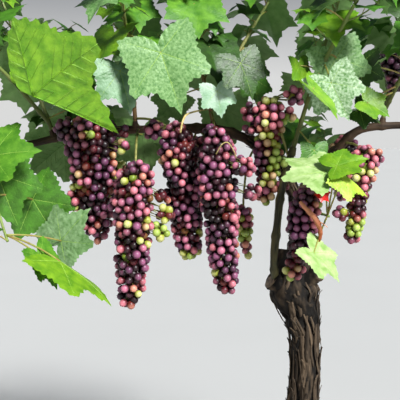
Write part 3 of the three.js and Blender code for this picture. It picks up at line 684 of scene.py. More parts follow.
def wood_finish():
    """Grey-brown bark whose clouds run out along the grain, lit on its plates and nearly black in the hollows
    of its relief: painted light and shade.
    """
    bark = colour_of("bark")
    along = (1, 1, 0.22)
    return material("old bark", bark, toned(bark, 0.035), 95, 0.6, 0.22, 0.86, 0.9, 3, along, 0.55, 0.3)


def cane_finish():
    """Brown bark of a level cane, darker in the hollows of its relief: painted shade."""
    cane = colour_of("cane")
    along = (0.2, 1, 1)
    return material("level cane", cane, toned(cane, 0.28), 120, 0.5, 0.22, 0.72, 0.5, 3, along, 0.5, 0.35)


def green_cane_finish():
    """Olive bark of the thin upright cane, with painted shadow, dark olive, in the hollows of its relief."""
    olive, shadow, along = colour(88, 84, 44), colour(30, 32, 14), (1, 1, 0.2)
    return material("green cane", olive, shadow, 90, 0.5, 0.25, 0.7, 0.5, 3, along, 0.5)


def clay_finish():
    """Fired clay with wide pale clouds."""
    clay = colour_of("clay")
    pale = toned(clay, 1.08, (0.75, 0.66, 0.58), 0.14)
    return material("fired clay", pale, toned(clay, 0.72), 11, 0.52, 0.24, 0.84, 0.35, 30, gloss=0.25)


def soil_finish():
    """Damp soil in fine light and dark grains."""
    soil = colour_of("soil")
    return material("soil", toned(soil, 1.3), toned(soil, 0.4), 130, 0.5, 0.25, 0.92, 0.9, 3, gloss=0.2)


# The wood.
def trunk_radius(share, angle):
    """The trunk's radius as in the part's source: linear between named radii, times one plus a root flare of
    five ridges and three turning ridges."""
    at = share * (len(TRUNK_RADIUS) - 1)
    smooth = np.interp(at, np.arange(len(TRUNK_RADIUS)), TRUNK_RADIUS)
    flare = 0.16 * np.maximum(0, 1 - share * 7) * np.cos(FLARE_ROOTS * angle)
    return smooth * (1 + flare + 0.07 * np.cos(3 * angle + 9 * share))


def bark_relief(share, angle, length, plates, height, seed):
    """Heights of shaggy bark in mm and from 0 to 1: long plates with steep edges, with finer threads on them.
    The plates are lumps drawn out along the limb and sharpened by tanh. The heights from 0 to 1 set the
    bark's colour as painted light and shade: lit on the plates, in shade in the hollows."""
    around = angle / TURN + 0.04 * np.sin(share * length / 60)
    plate = np.tanh(2.6 * lumps(around, share * length / 46, plates, seed))
    thread = lumps(around, share * length / 17, 3 * plates, seed + 1)
    grit = lumps(around, share * length / 6, 5 * plates, seed + 2)
    relief = height * (0.62 * plate + 0.42 * thread + 0.2 * grit)
    return relief, np.clip(0.5 + 0.3 * plate + 0.3 * thread + 0.16 * grit, 0, 1)


def build_trunk():
    """The trunk: its radius plus bark relief, with knobs round the head, cut stubs, and loose strips of
    bark that lift at their ends."""
    heap, path = Heap(), Path(TRUNK_PATH)
    rows, columns = 240, 150
    share, angle = grid(rows, columns)
    head = np.clip((share - HEAD_FROM) / 0.12, 0, 1)
    relief, level = bark_relief(share, angle, path.length, 15, sizes()["bark"], 5)
    around, run = angle / TURN, share * path.length
    knobs = 8 * lumps(around, run / 34, 6, 9) + 4 * lumps(around, run / 15, 13, 10)
    radius = trunk_radius(share, angle) + relief * (1 + 0.3 * head) + knobs * head
    # The colour follows the relief: painted shade in the hollows, painted light on the plates and the knobs,
    # and darker overall at the head.
    level = np.clip(level * (1 - 0.45 * head) + 0.02 * knobs * head, 0, 1)
    tube(heap, path, radius, rows, columns, 0, level)
    for number, (low, high, thick) in enumerate(STUBS):
        add_stub(heap, np.array(low, float), np.array(high, float), thick, number)
    add_strips(heap, path, STRIPS)
    cut = material("cut wood", colour(150, 128, 100), colour(84, 68, 50), 160)
    heap.piece("trunk_bark", [wood_finish(), cut], "bark", "trunk")


def add_stub(heap, low, high, thick, number):
    """A pruned stub: a tube with bark relief and a lip of healed bark, and its uneven cut face."""
    path = Path([low, (low + high) / 2 + 1.5 * UP, high])
    rows, columns = 22, 36
    share, angle = grid(rows, columns)
    relief, level = bark_relief(share, angle, path.length, 7, 2.4, 20 + number)
    lip = 2.2 * np.exp(-(((share - 0.9) / 0.08) ** 2))
    tube(heap, path, thick * (1.25 - 0.25 * share) + relief + lip, rows, columns, 0, level * 0.7)
    ahead = unit(high - low)
    uneven = 1 + 0.05 * lumps(np.arange(columns)[None] / columns, 0.5, 9, number)
    rings = thick * np.array([0.98, 0.9, 0.45, 0.12])[:, None] * uneven
    tube(heap, Path([high - 0.4 * ahead, high + 0.9 * ahead]), rings, len(rings), columns, 1, 0.4)


def strip_skins(path, share, turn, wide, centre, lifts):
    """Closed strips along a path: rings of four corners, wide to each side of an angle round the path, at
    two lifts off a distance from it, with a point at each end."""
    under, over = lifts
    corners = [
        path.round(share, turn + side * wide / centre, centre + lift)
        for side, lift in ((-1, under), (1, under), (1, over), (-1, over))
    ]
    skin = np.stack(corners, axis=2).reshape(len(share), -1, 3)
    ends = path.round(share[:, [0, -1]], turn[:, [0, -1]], centre[:, [0, -1]])
    return np.concatenate([skin, ends], axis=1)


def add_strips(heap, path, count):
    """Loose strips of bark on the trunk: each follows it between two shares of its length at an angle that
    drifts a little, 3 to 9 mm wide at its middle and 1.2 mm thick, and lifts off at one end or both."""
    rng = np.random.default_rng(31)
    low = rng.uniform(0.03, 0.86, count)[:, None]
    long = rng.uniform(0.05, 0.17, count)[:, None]
    angle, drift = rng.uniform(0, TURN, (2, count, 1))
    rows = 9
    s = np.linspace(0, 1, rows)[None]
    share, turn = np.minimum(low + long * s, 0.99), angle + 0.12 * np.sin(drift + 3 * s)
    rise = rng.uniform(0.5, 5.5, count)[:, None] * np.abs(2 * s - 1) ** 3 * (s > 0.5 * (drift > np.pi)) + 2.2
    wide = rng.uniform(1.5, 4.5, count)[:, None] * np.sin(np.pi * (0.1 + 0.82 * s)) ** 0.6
    skins = strip_skins(path, share, turn, wide, trunk_radius(share, turn) + rise, (-0.7, 0.5))
    heap.add(skins, skin_faces(rows, 4), 0, rng.uniform(0.3, 0.95, (count, 1)))


def add_arm_strips(heap, path, foot, tip, seed):
    """Short loose strips of bark along an arm, as on the trunk."""
    rng, count, rows = np.random.default_rng(seed), ARM_STRIPS, 6
    s = np.linspace(0, 1, rows)[None]
    share = np.minimum(rng.uniform(0.02, 0.8, (count, 1)) + rng.uniform(0.1, 0.25, (count, 1)) * s, 0.99)
    turn = rng.uniform(0, TURN, (count, 1)) + 0.1 * s
    centre = foot + (tip - foot) * share + 1.4 + 2.5 * np.abs(2 * s - 1) ** 3
    wide = rng.uniform(1.2, 3, (count, 1)) * np.sin(np.pi * (0.1 + 0.82 * s))
    skins = strip_skins(path, share, turn, wide, centre, (-0.6, 0.4))
    heap.add(skins, skin_faces(rows, 4), 0, rng.uniform(0.4, 0.95, (count, 1)))


def build_limb(name, seed):
    """An arm or cane: a tapering tube with swollen joints and fissured bark, and a spur at each shoot."""
    points, foot, tip = LIMBS[name]
    path, heap = Path(points), Heap()
    rows, columns = int(path.length / 2.2), 30
    share, angle = grid(rows, columns)
    arm = foot > ARM_FROM
    plates, height, swelling = (9, 2.2, 0.1) if arm else (7, 0.8, 0.24)
    relief, level = bark_relief(share, angle, path.length, plates, height, seed)
    run = (share * path.length) % LIMB_JOINT
    joints = swelling * np.exp(-(((run - LIMB_JOINT / 2) / 7) ** 2))
    radius = (foot + (tip - foot) * share) * (1 + joints) + relief
    tube(heap, path, radius, rows, columns, 0, level)
    for on, place, stem, _, _ in MASSES.values():
        if on == name:
            add_spur(heap, path.at(place), stem, seed + 3)
    if arm:
        add_arm_strips(heap, path, foot, tip, seed)
    if name == "side_cane":
        skin = green_cane_finish()
    else:
        skin = wood_finish() if arm else cane_finish()
    heap.piece(f"{name}_bark", [skin], "bark", name)


def add_spur(heap, foot, stem, seed):
    """The swollen foot of a shoot: a short tube that leans to the left or right as the shoot does."""
    heading, lean = np.radians(stem[0]), np.radians(stem[1])
    ahead = np.array([np.cos(heading) * np.sin(lean), 0, np.cos(lean)])
    rows, columns = 14, 20
    share, angle = grid(rows, columns)
    relief, level = bark_relief(share, angle, 20, 5, 1.2, seed)
    radius = 8.6 - 3.4 * share + relief
    tube(heap, Path([foot, foot + 8 * ahead, foot + 17 * ahead]), radius, rows, columns, 0, level)


# The shoots.
def shoot_path(start, shoot):
    """A shoot as in the part's source, at thirds of t: out by sin(lean)·length·t, and up by
    length·(cos(lean)·t - droop·t²)."""
    heading, lean, length, droop = shoot
    t = np.array([0, 1 / 3, 2 / 3, 1])[:, None]
    out, tilt = heading_way(np.radians(heading)), np.radians(lean)
    return Path(start + out * np.sin(tilt) * length * t + UP * length * (np.cos(tilt) * t - droop * t * t))


@functools.cache
def shoots_of(name):
    """The paths of a mass's stem and forks."""
    on, place, stem, forks, _ = MASSES[name]
    main = shoot_path(Path(LIMBS[on][0]).at(place), stem)
    return [main] + [shoot_path(main.at(share), fork) for share, *fork in forks]


def carrier(name):
    """The path of the limb or mass that something hangs from."""
    return Path(LIMBS[name][0]) if name in LIMBS else shoots_of(name)[0]


# The grapes.
def grape_ball():
    """A ball of 54 quads: each side of a cube cut in three by three and drawn out to the round."""
    line = np.tan(np.linspace(-1, 1, 4) * np.pi / 4)
    places, faces = [], []
    a, b = np.meshgrid(line, line, indexing="ij")
    cell = np.array([0, 4, 5, 1]) + (4 * np.arange(3)[:, None] + np.arange(3)[None]).reshape(-1, 1)
    for axis in range(3):
        for way in (1, -1):
            side = np.zeros((16, 3))
            side[:, axis] = way
            side[:, (axis + 1) % 3], side[:, (axis + 2) % 3] = a.ravel(), way * b.ravel()
            faces.append(cell + 16 * len(places))
            places.append(side)
    places, faces = unit(np.concatenate(places)), np.concatenate(faces)
    kept, number = np.unique(np.round(places, 5), axis=0, return_inverse=True)
    return unit(kept), number.ravel()[faces]


def bunch_share(t):
    """A bunch's width as a share of its shoulder's: a quarter sine up to the shoulder, then a power curve
    down to the tip."""
    rising = TIP_SHARE + (1 - TIP_SHARE) * np.sin(np.pi / 2 * np.minimum(t / SHOULDER_AT, 1))
    past = np.clip((t - SHOULDER_AT) / (1 - SHOULDER_AT), 0, 1)
    return np.where(t < SHOULDER_AT, rising, 1 + (TIP_SHARE - 1) * past**NARROWING)


def depth_in(bunch, places):
    """How deep places lie inside a bunch's outline, in mm: from the side of its round body, whose ends are
    domes, or of the wing that holds them deepest."""
    _, _, width, top, tip, wings = bunch[:6]
    top, axis = np.array(top, float), np.array(tip, float) - np.array(top, float)
    length = np.linalg.norm(axis)
    dome = TIP_SHARE * width / 2 / length
    t = np.clip(dot(places - top, axis)[..., 0] / length**2, dome, 1 - dome)
    deep = width / 2 * bunch_share(t) - np.linalg.norm(places - top - t[..., None] * axis, axis=-1)
    for across, back, drop, radius in wings:
        centre = top + np.array([across, back, drop])
        deep = np.maximum(deep, radius - np.linalg.norm(places - centre, axis=-1))
    return deep


def outward(bunch, places):
    """Directions out of a bunch: against the slope of the depth."""
    slope = [depth_in(bunch, places + step) - depth_in(bunch, places - step) for step in np.eye(3)]
    return -unit(np.stack(slope, axis=-1))


def thrown(candidates, taken, gap):
    """Candidates kept one by one where they lie at least gap from all that are kept or taken already."""
    kept = list(taken)
    for place in candidates:
        if not kept or np.min(np.linalg.norm(np.array(kept) - place, axis=1)) >= gap:
            kept.append(place)
    return np.array(kept[len(taken):]).reshape(-1, 3)


def eased(bunch, places, gap, deep, rounds):
    """Places pushed apart towards a gap, round by round, and drawn back to one depth in the bunch."""
    for _ in range(rounds):
        way = places[:, None] - places[None]
        far = np.linalg.norm(way, axis=2) + 1e-6
        np.fill_diagonal(far, 1e6)
        push = np.maximum(0, gap - far) / far * 0.5
        places = places + np.sum(way * push[..., None], axis=1)
        off = depth_in(bunch, places) - deep
        places = places + outward(bunch, places) * off[:, None]
    return places


@functools.cache
def grapes_in(name):
    """The centres and radii of a bunch's grapes: an outer layer thrown on the outline and pushed apart, a
    fill of what still fits, sunk here and there into hollows, and an inner layer in the gaps."""
    bunch, radius = BUNCHES[name], sizes()["grape"]
    rng = np.random.default_rng(sum(map(ord, name)))
    _, _, width, top, tip, wings = bunch[:6]
    ends = np.array([top, tip] + [np.array(top) + np.array(w[:3]) for w in wings], float)
    low, high = ends.min(axis=0) - width / 2 - 10, ends.max(axis=0) + width / 2 + 10
    cloud = rng.uniform(low, high, (CLOUD, 3))
    deep = depth_in(bunch, cloud)
    shell = cloud[np.abs(deep - radius) < 1.6]
    outer = thrown(shell[:OUTER_TRIES], [], THROWN_GAP * radius)
    outer = eased(bunch, outer, EASED_GAP * radius, radius, 40)
    more = thrown(shell[OUTER_TRIES : OUTER_TRIES + FILL_TRIES], outer, FILL_GAP * radius)
    outer = eased(bunch, np.vstack([outer, more]), SETTLED_GAP * radius, radius, 25)
    waves = rng.normal(0, 1 / 17, (3, 4))
    sunk = np.clip(np.sin(outer @ waves + rng.uniform(0, TURN, 4)).sum(axis=1), 0, 1.5)
    axis = np.array(tip, float) - top
    along = dot(outer - top, axis)[:, 0] / np.sum(axis**2)
    room = np.clip(width / 2 * bunch_share(np.clip(along, 0, 1)) / 42, 0.4, 1)
    outer = outer - outward(bunch, outer) * (1.05 * radius * sunk * room)[:, None]
    core = cloud[(deep > 1.7 * radius) & (deep < 3.4 * radius)]
    inner = thrown(core[:INNER_TRIES], outer, INNER_GAP * radius)
    outer = outer + outward(bunch, outer) * rng.normal(0, 0.11 * radius, (len(outer), 1))
    return np.vstack([outer, inner]), radius * rng.normal(1, 0.055, len(outer) + len(inner)).clip(0.86, 1.12)


def ripeness(name, places):
    """The finish of each grape: patches and chance about the bunch's own ripeness, less the nearness to its
    least ripe spots, cut into eight steps."""
    _, _, _, top, _, _, ripe, spots = BUNCHES[name]
    rng = np.random.default_rng(7 + sum(map(ord, name)))
    waves = rng.normal(0, 1 / 16, (3, 3))
    score = ripe + 0.55 * np.sin(places @ waves + rng.uniform(0, TURN, 3)).sum(axis=1)
    score = score + rng.normal(0, 0.66, len(places))
    for across, drop, reach in spots:
        off = np.hypot(places[:, 0] - top[0] - across, places[:, 2] - top[2] - drop)
        score = score - 1.7 * np.exp(-((off / (1.3 * reach)) ** 2))
    return np.digitize(-score, RIPENESS_STEPS)


def build_bunch(name):
    """A bunch: balls slightly longer than wide, and its stalk with short side stalks into the grapes. The
    grapes are painted in shade where they lie deep in the bunch.
    """
    on, share, _, top, tip = BUNCHES[name][:5]
    places, radius = grapes_in(name)
    rng = np.random.default_rng(3)
    ball, faces = grape_ball()
    tilt = unit(outward(BUNCHES[name], places) + rng.normal(0, 0.3, places.shape))
    long = 1 + 0.07 * dot(ball[None], tilt[:, None])[..., 0] ** 2
    skins = places[:, None] + ball[None] * (radius[:, None] * long)[..., None]
    heap = Heap()
    # How open each corner of a grape lies: deep in the bunch its colour turns to the dark skin, as painted
    # shade in the hollows.
    outside = 1 - np.clip(depth_in(BUNCHES[name], skins) / (1.6 * radius[:, None]), 0, 1) ** 0.8
    heap.add(skins, [faces], ripeness(name, places), outside)
    heap.piece(name.replace("bunch", "grapes"), grape_finishes(), "grape", name)
    top, tip = np.array(top, float), np.array(tip, float)
    start = carrier(on).at(share)
    bend = np.array([top[0], top[1], max(start[2], top[2]) + 6]) * 0.9 + start * 0.1
    heap = Heap()
    add_hoses(heap, [start], [bend], [top * 0.85 + tip * 0.15], 2.6, 2.2, 14, 8)
    add_hoses(heap, [top], [(top + tip) / 2], [tip * 0.95 + top * 0.05], 2.3, 1.0, 12, 6)
    along = np.clip(dot(places - top, tip - top)[:, 0] / dot(tip - top, tip - top)[0], 0.02, 0.95)
    feet = top + np.maximum(along - 0.06, 0.01)[:, None] * (tip - top)
    bends = (feet + places) / 2 + 5 * UP
    add_hoses(heap, feet, bends, places, 1.1, 0.8, 4, 3)
    stalk = material("bunch stalk", colour(150, 146, 78), colour(96, 104, 44), 130, rough=0.6)
    heap.piece(name.replace("bunch", "stalk"), [stalk], "grape", name)


# The leaves.
def rim_share(angle):
    """The reach of a blade's rim by angle from its midrib: between a lobe and a bay it falls by the power
    1.35 of the way, so that lobes are pointed and bays are round."""
    degrees = np.abs(np.degrees(angle))
    part = np.clip(np.searchsorted(OUTLINE[:, 0], degrees, "right") - 1, 0, len(OUTLINE) - 2)
    low, high = OUTLINE[part], OUTLINE[part + 1]
    way = (degrees - low[..., 0]) / (high[..., 0] - low[..., 0])
    lobe_first = part % 2 == 0
    rise = np.where(lobe_first, 1 - way, way) ** 1.35
    bay = np.where(lobe_first, high[..., 1], low[..., 1])
    lobe = np.where(lobe_first, low[..., 1], high[..., 1])
    return bay + (lobe - bay) * rise


def leaf_frame(leaves):
    """The directions of blades: along the midrib, across it, and out of the upper side."""
    along = unit(leaves["aim"])
    up = unit(leaves["face"] - dot(leaves["face"], along) * along)
    return along, np.cross(up, along), up


def on_blade(leaves, x, y, lift):
    """Places on blades: x along the midrib and y across it as shares of the reach, at the height
    fold·|y| - droop·r² + a wave of the rim + pillows between the side veins + lift."""
    along, across, up = (way[:, None] for way in leaf_frame(leaves))
    reach, fold, droop, wave, puff = (leaves[name][:, None] for name in LEAF_NUMBERS)
    angle, far = np.arctan2(y, x), np.hypot(x, y)
    off = np.abs((angle[..., None] - MAIN_VEINS + np.pi) % TURN - np.pi).min(axis=-1)
    u, v = far * np.cos(off), far * np.sin(off)
    pillow = np.abs(np.sin(np.pi * (u - VEIN_SLOPE * v) / VEIN_STEP)) * v / (v + 0.04)
    height = fold * np.abs(y) - droop * far**2 + wave * far**3 * np.sin(5 * angle + 40 * fold) + puff * pillow
    return leaves["joint"][:, None] + reach[..., None] * (
        x[..., None] * along + y[..., None] * across + (height + lift)[..., None] * up
    )


def blade_grid(half, rings):
    """The grid of a toothed blade: angles round it, shares of the rim's reach, and faces. Its upper side has
    that many rings, and its underside goes straight from the rim to the middle unless the grid is fine."""
    if half is None:
        columns = FINE_CORNERS
        angle = -np.pi + np.arange(columns) * TURN / columns
        tooth = np.abs((angle * sizes()["teeth"] / TURN) % 1 - 0.5) * 2 - 0.5
        rim = rim_share(angle) * (1 + 0.085 * tooth)
    else:
        half = np.radians(half)
        angle = np.concatenate([-half[:0:-1], half[:-1]])
        tooth = np.where(np.arange(len(half)) % 2 == 0, 0.05, -0.045)
        rim = rim_share(angle) * (1 + np.concatenate([tooth[:0:-1], tooth[:-1]]))
        columns = len(angle)
    reach = np.linspace(0, 1, rings + 1)[1:, None] * rim
    c = np.arange(columns)
    n = (c + 1) % columns
    last = (rings - 1) * columns
    middle, under, first = rings * columns, rings * columns + 1, rings * columns + 2
    near, beside = (np.arange(rings - 1)[:, None] * columns + corner for corner in (c, n))
    upper = np.stack([near, near + columns, beside + columns, beside], -1).reshape(-1, 4)
    above = [upper, np.stack([np.full(columns, middle), c, n], -1)]
    if half is not None:
        return reach, angle, above, [np.stack([np.full(columns, under), last + n, last + c], -1)]
    lower = first + np.stack([near, beside, beside + columns, near + columns], -1)[:-1].reshape(-1, 4)
    edge = first + (rings - 2) * columns
    seam = np.stack([edge + c, edge + n, last + n, last + c], -1)
    fan = np.stack([np.full(columns, under), first + n, first + c], -1)
    return reach, angle, above, [np.concatenate([lower, seam]), fan]


def add_blades(heap, leaves, half, rings, tints, underside):
    """Adds closed blades: an upper and a lower skin that meet in the toothed rim."""
    if not len(leaves["reach"]):
        return
    far, angle, above, below = blade_grid(half, rings)
    thick = sizes()["blade"] / leaves["reach"][:, None]
    x, y = (far * np.cos(angle)).ravel(), (far * np.sin(angle)).ravel()
    x, y = np.append(x, [0, 0])[None], np.append(y, [0, 0])[None]
    lift = np.zeros((len(thick), x.shape[1]))
    lift[:, -1] = -thick[:, 0]
    if half is None:
        x, y = (np.concatenate([a, a[:, : (rings - 1) * far.shape[1]]], axis=1) for a in (x, y))
        ring = np.repeat(1 - np.arange(1, rings) / rings, far.shape[1])[None]
        lift = np.concatenate([lift, -thick * ring], axis=1)
    n = len(leaves["reach"])
    x, y = np.broadcast_to(x, (n, x.shape[1])), np.broadcast_to(y, (n, y.shape[1]))
    rim = np.zeros(x.shape[1], bool)
    rim[(rings - 1) * far.shape[1]: rings * far.shape[1]] = True
    skins = [tints] * len(above) + [underside] * len(below)
    heap.add(on_blade(leaves, x, y, lift), above + below, skins, 0.5, rim)


@functools.cache
def vein_lines():
    """The veins of a blade as arrays of start, end and half width: five main ones from the joint to the
    lobes, and side veins from them, as far as they stay well inside the rim and near their main vein."""
    lines = []
    for vein in MAIN_VEINS:
        end = rim_share(vein) * 0.97
        ahead = np.array([np.cos(vein), np.sin(vein)])
        lines.append((np.zeros(2), end * ahead, VEIN_HALF))
        feet = [step * VEIN_STEP for step in range(1, 7) if step * VEIN_STEP <= end * 0.9]
        for foot, bearing in [(foot, vein + way * VEIN_ANGLE) for foot in feet for way in (-1, 1)]:
            run = np.linspace(0.02, 0.7, 40)
            x = foot * np.cos(vein) + run * np.cos(bearing)
            y = foot * np.sin(vein) + run * np.sin(bearing)
            inside = np.hypot(x, y) < rim_share(np.arctan2(y, x)) * 0.96
            off = np.abs((np.arctan2(y, x) - vein + np.pi) % TURN - np.pi)
            good = np.cumprod(inside & (off < np.radians(27 if abs(vein) < 1 else 34))).sum()
            if good > 3:
                lines.append((foot * ahead, np.array([x[good - 1], y[good - 1]]), SIDE_VEIN_HALF))
    return tuple(np.array(column) for column in zip(*lines))


def add_veins(heap, leaves, finish, side=1):
    """Adds raised veins to one side of fine blades, 1 the upper and -1 the lower, in one finish or one for
    each blade. Each vein is a three-sided strip that tapers."""
    start, end, wide = vein_lines()
    rows = 15
    s = np.linspace(0, 1, rows)[None]
    cross = unit(end - start) @ np.array([[0, 1], [-1, 0]])
    dots = start[:, None] * (1 - s[..., None]) + end[:, None] * s[..., None]
    half = wide[:, None] * (1 - 0.75 * s)
    aside = side * cross[:, None] * half[..., None]
    flat = np.stack([dots - aside, dots + aside, dots], axis=2).reshape(len(start), -1, 2)
    lift = np.stack([-0.3 * half, -0.3 * half, 0.6 * half + 0.0016], axis=2).reshape(len(start), -1)
    flat = np.concatenate([flat, dots[:, :1], dots[:, -1:]], axis=1)
    lift = np.concatenate([lift, 0.1 * half[:, :1], 0.1 * half[:, -1:]], axis=1)
    lift = lift if side > 0 else -lift - 0.9 * sizes()["blade"] / 90
    n, (m, k) = len(leaves["reach"]), lift.shape
    x, y = (np.broadcast_to(flat[..., i].ravel(), (n, m * k)) for i in (0, 1))
    places = on_blade(leaves, x, y, np.broadcast_to(lift.ravel(), (n, m * k)))
    heap.add(places.reshape(n * m, k, 3), skin_faces(rows, 3), np.repeat(np.broadcast_to(finish, n), m))


def gathered(rows):
    """Leaves as one table of arrays."""
    table = {}
    for number, name in enumerate(LEAF_PLACES + LEAF_NUMBERS):
        column = np.array([row[number] for row in rows], float)
        table[name] = column.reshape(-1, 3) if name in LEAF_PLACES else column
    return table


def rule_leaves(name):
    """The leaves of a mass by the source's rule: one at each joint of a shoot, to alternate sides, smaller
    towards the tip. Those that the source skipped are left out: a kept one has a corner of its solid at its
    joint."""
    tree = tree_of([corner.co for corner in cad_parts[name].data.vertices])
    draw, kept, joints = seeded(MASSES[name][4]), [], []
    for path in shoots_of(name):
        count = round(path.length * (1 - FIRST_LEAF) / INTERNODE)
        turn0 = next(draw) * TURN
        for i in range(count + 1):
            share = FIRST_LEAF + (1 - FIRST_LEAF) * i / count
            start = path.at(min(share, 0.995))
            turn = turn0 + i * np.pi + (next(draw) - 0.5) * 0.9
            out = heading_way(turn)
            reach = LEAF_REACH * (1 - share * share / 2) * (0.82 + 0.36 * next(draw))
            stalk = reach * (0.55 + 0.25 * next(draw))
            joint = start + out * 0.85 * stalk + UP * 0.5 * stalk
            aim = out * 0.75 + UP * (-0.35 - 0.5 * next(draw))
            face = out * 0.55 + UP * 0.8
            fold, droop = 0.1 + 0.2 * next(draw), 0.12 + 0.12 * next(draw)
            joints.append((path, share, turn))
            if tree.find(joint * MM)[2] < 0.6 * MM:
                kept.append((start, joint, aim, face, reach, fold, droop, 0.07, 0.012))
    return kept, joints


def shown_leaves(name):
    """The leaves of a mass that stand out, each on a stalk from the nearest place of its shoots."""
    rows, tints = [], []
    shares = (np.arange(18) + 2) / 20
    dots = np.vstack([path.at(shares) for path in shoots_of(name)])
    for mass, joint, aim, face, reach, fold, tint in SHOWN_LEAVES + SMALL_LEAVES:
        if mass == name:
            start = dots[np.argmin(np.linalg.norm(dots - np.array(joint), axis=1))]
            rows.append((start, joint, aim, face, reach, fold, 0.12, 0.06, 0.014))
            tints.append(tint)
    return rows, tints


@functools.cache
def grape_tree():
    """All grapes, for finding the nearest one to a place."""
    return tree_of(np.vstack([grapes_in(name)[0] for name in BUNCHES]))


def has_room(joint, tip, low, high):
    """Whether a small leaf stays about its mass's box, clear of the grapes and out of the space before the
    fruit."""
    ends = np.array([joint, tip])
    inside = np.all(ends > low - PAST_BOX) and np.all(ends < high + PAST_BOX)
    middle = (joint + tip) / 2
    nearest = min(grape_tree().find(place)[2] for place in (middle, joint))
    before = middle[2] < FRUIT["top"] and middle[1] < FRUIT["back"] and middle[0] > FRUIT["left"]
    return inside and nearest > GRAPE_CLEAR and not before


def side_growth(name, joints):
    """Finer twigs of a mass: from most joints of a shoot a side shoot leaves against the leaf, with three
    small leaves. Those that would leave the space about the mass's box, come near a grape or stand before
    the fruit are left out."""
    rng = np.random.default_rng(MASSES[name][4])
    low, high = (np.array(c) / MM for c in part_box(name))
    twigs, rows = [], []
    for path, share, turn in joints:
        chance, length = rng.random(), rng.uniform(45, 105) * (1.1 - 0.5 * share)
        bearing = turn + np.pi + rng.uniform(-0.7, 0.7)
        out = heading_way(bearing)
        start = path.at(min(share, 0.995))
        bend = start + out * 0.5 * length + UP * 0.12 * length
        end = start + out * 0.85 * length + UP * 0.5 * length
        spread = rng.uniform(-1, 1, (3, 4))
        if chance > 0.86 or share < 0.25:
            continue
        grown = []
        for step, (a, b, c, d) in zip((0.45, 0.75, 1.0), spread):
            foot = (1 - step) ** 2 * start + 2 * step * (1 - step) * bend + step**2 * end
            way = bearing + (1.1 if step == 0.75 else -1.1) * (step < 1) + 0.5 * a
            side = heading_way(way)
            reach = (52 - 20 * step) * (1 - 0.3 * share) * (1 + 0.2 * b)
            joint = foot + side * 0.5 * reach + UP * 0.28 * reach
            aim, face = side * 0.75 - UP * (0.45 + 0.3 * c), side * 0.5 + UP * 0.8
            if has_room(joint, joint + unit(aim) * reach, low, high):
                grown.append((foot, joint, aim, face, reach, 0.2 + 0.1 * d, 0.16, 0.08, 0.0))
        if grown:
            twigs.append((start, bend, end))
            rows += grown
    return twigs, rows


def build_foliage(name, shown, tints, kept, small):
    """A mass's leaves as one piece: those that stand out, with veins, and the rest in a spray of tints."""
    finishes, number = leaf_finishes()
    underside, veins = len(number), len(number) + 1
    below = [number["backlit"] if tint in ("sunlit", "yellow") else underside for tint in tints]
    heap, fine = Heap(), gathered(shown)
    add_blades(heap, fine, None, FINE_RINGS, np.array([number[tint] for tint in tints]), np.array(below))
    if shown:
        add_veins(heap, fine, veins)
        add_veins(heap, fine, below, -1)
    rng = np.random.default_rng(MASSES[name][4] + 1)
    choice = np.array([number[tint] for tint in SPRAY])
    for rows, half, odds in ((kept, COARSE, GROWN_ODDS), (small, SMALL, YOUNG_ODDS)):
        spray = choice[rng.choice(len(SPRAY), max(len(rows), 1), p=odds)]
        add_blades(heap, gathered(rows), half, 2, spray[: len(rows)], underside)
    heap.piece(name.replace("leaves", "foliage"), finishes, "leaf", name)


def build_shoots(name, joints, twigs, shown, kept, small):
    """A mass's shoots, swollen at the leaves, with side shoots, leaf stalks and tendrils, as one piece."""
    size, heap = sizes(), Heap()
    for path in shoots_of(name):
        rows = int(path.length / 3.2)
        share = np.linspace(0, 1, rows)[:, None]
        radius = size["shoot_foot"] + (size["shoot_tip"] - size["shoot_foot"]) * share
        run = (share - FIRST_LEAF) * path.length / INTERNODE
        swell = 0.28 * np.exp(-(((run - np.round(run)) * INTERNODE / 3.2) ** 2))
        tube(heap, path, radius * (1 + swell), rows, 10, 0, np.clip(share * 1.1, 0, 1))
    if twigs:
        start, bend, end = (np.array(a) for a in zip(*twigs))
        add_hoses(heap, start, bend, end, 1.9, 1.1, 6, 5)
    for rows, thick, columns in ((shown, 1.0, 8), (kept, 1.0, 5), (small, 0.6, 3)):
        if rows:
            leaves = gathered(rows)
            radius = size["stalk"] * thick * (0.75 + 0.25 * leaves["reach"] / LEAF_REACH)
            middle = (leaves["start"] + leaves["joint"]) / 2 + 0.1 * leaves["reach"][:, None] * UP
            add_hoses(heap, leaves["start"], middle, leaves["joint"], radius * 1.25, radius, 7, columns, 1)
    add_tendrils(heap, joints, MASSES[name][4])
    foot = colour(118, 88, 48) if "middle" in name else colour(92, 100, 46)
    stem = material("shoot", colour(120, 142, 66), foot, 90, 0.5, 0.24, 0.55, 0.3, 3, (1, 1, 0.3), 0.6)
    stalk = material("leaf stalk", colour(150, 158, 74), colour(150, 96, 66), 70, 0.42, 0.2, 0.5)
    tendril = material("tendril", colour(150, 178, 72), colour(118, 140, 52), 90)
    heap.piece(name.replace("leaves", "shoots"), [stem, stalk, tendril], "leaf")


def build_mass(name):
    """A mass of leafy shoots, as two pieces."""
    shown, tints = shown_leaves(name)
    kept, joints = rule_leaves(name)
    twigs, small = side_growth(name, joints)
    build_foliage(name, shown, tints, kept, small)
    build_shoots(name, joints, twigs, shown, kept, small)


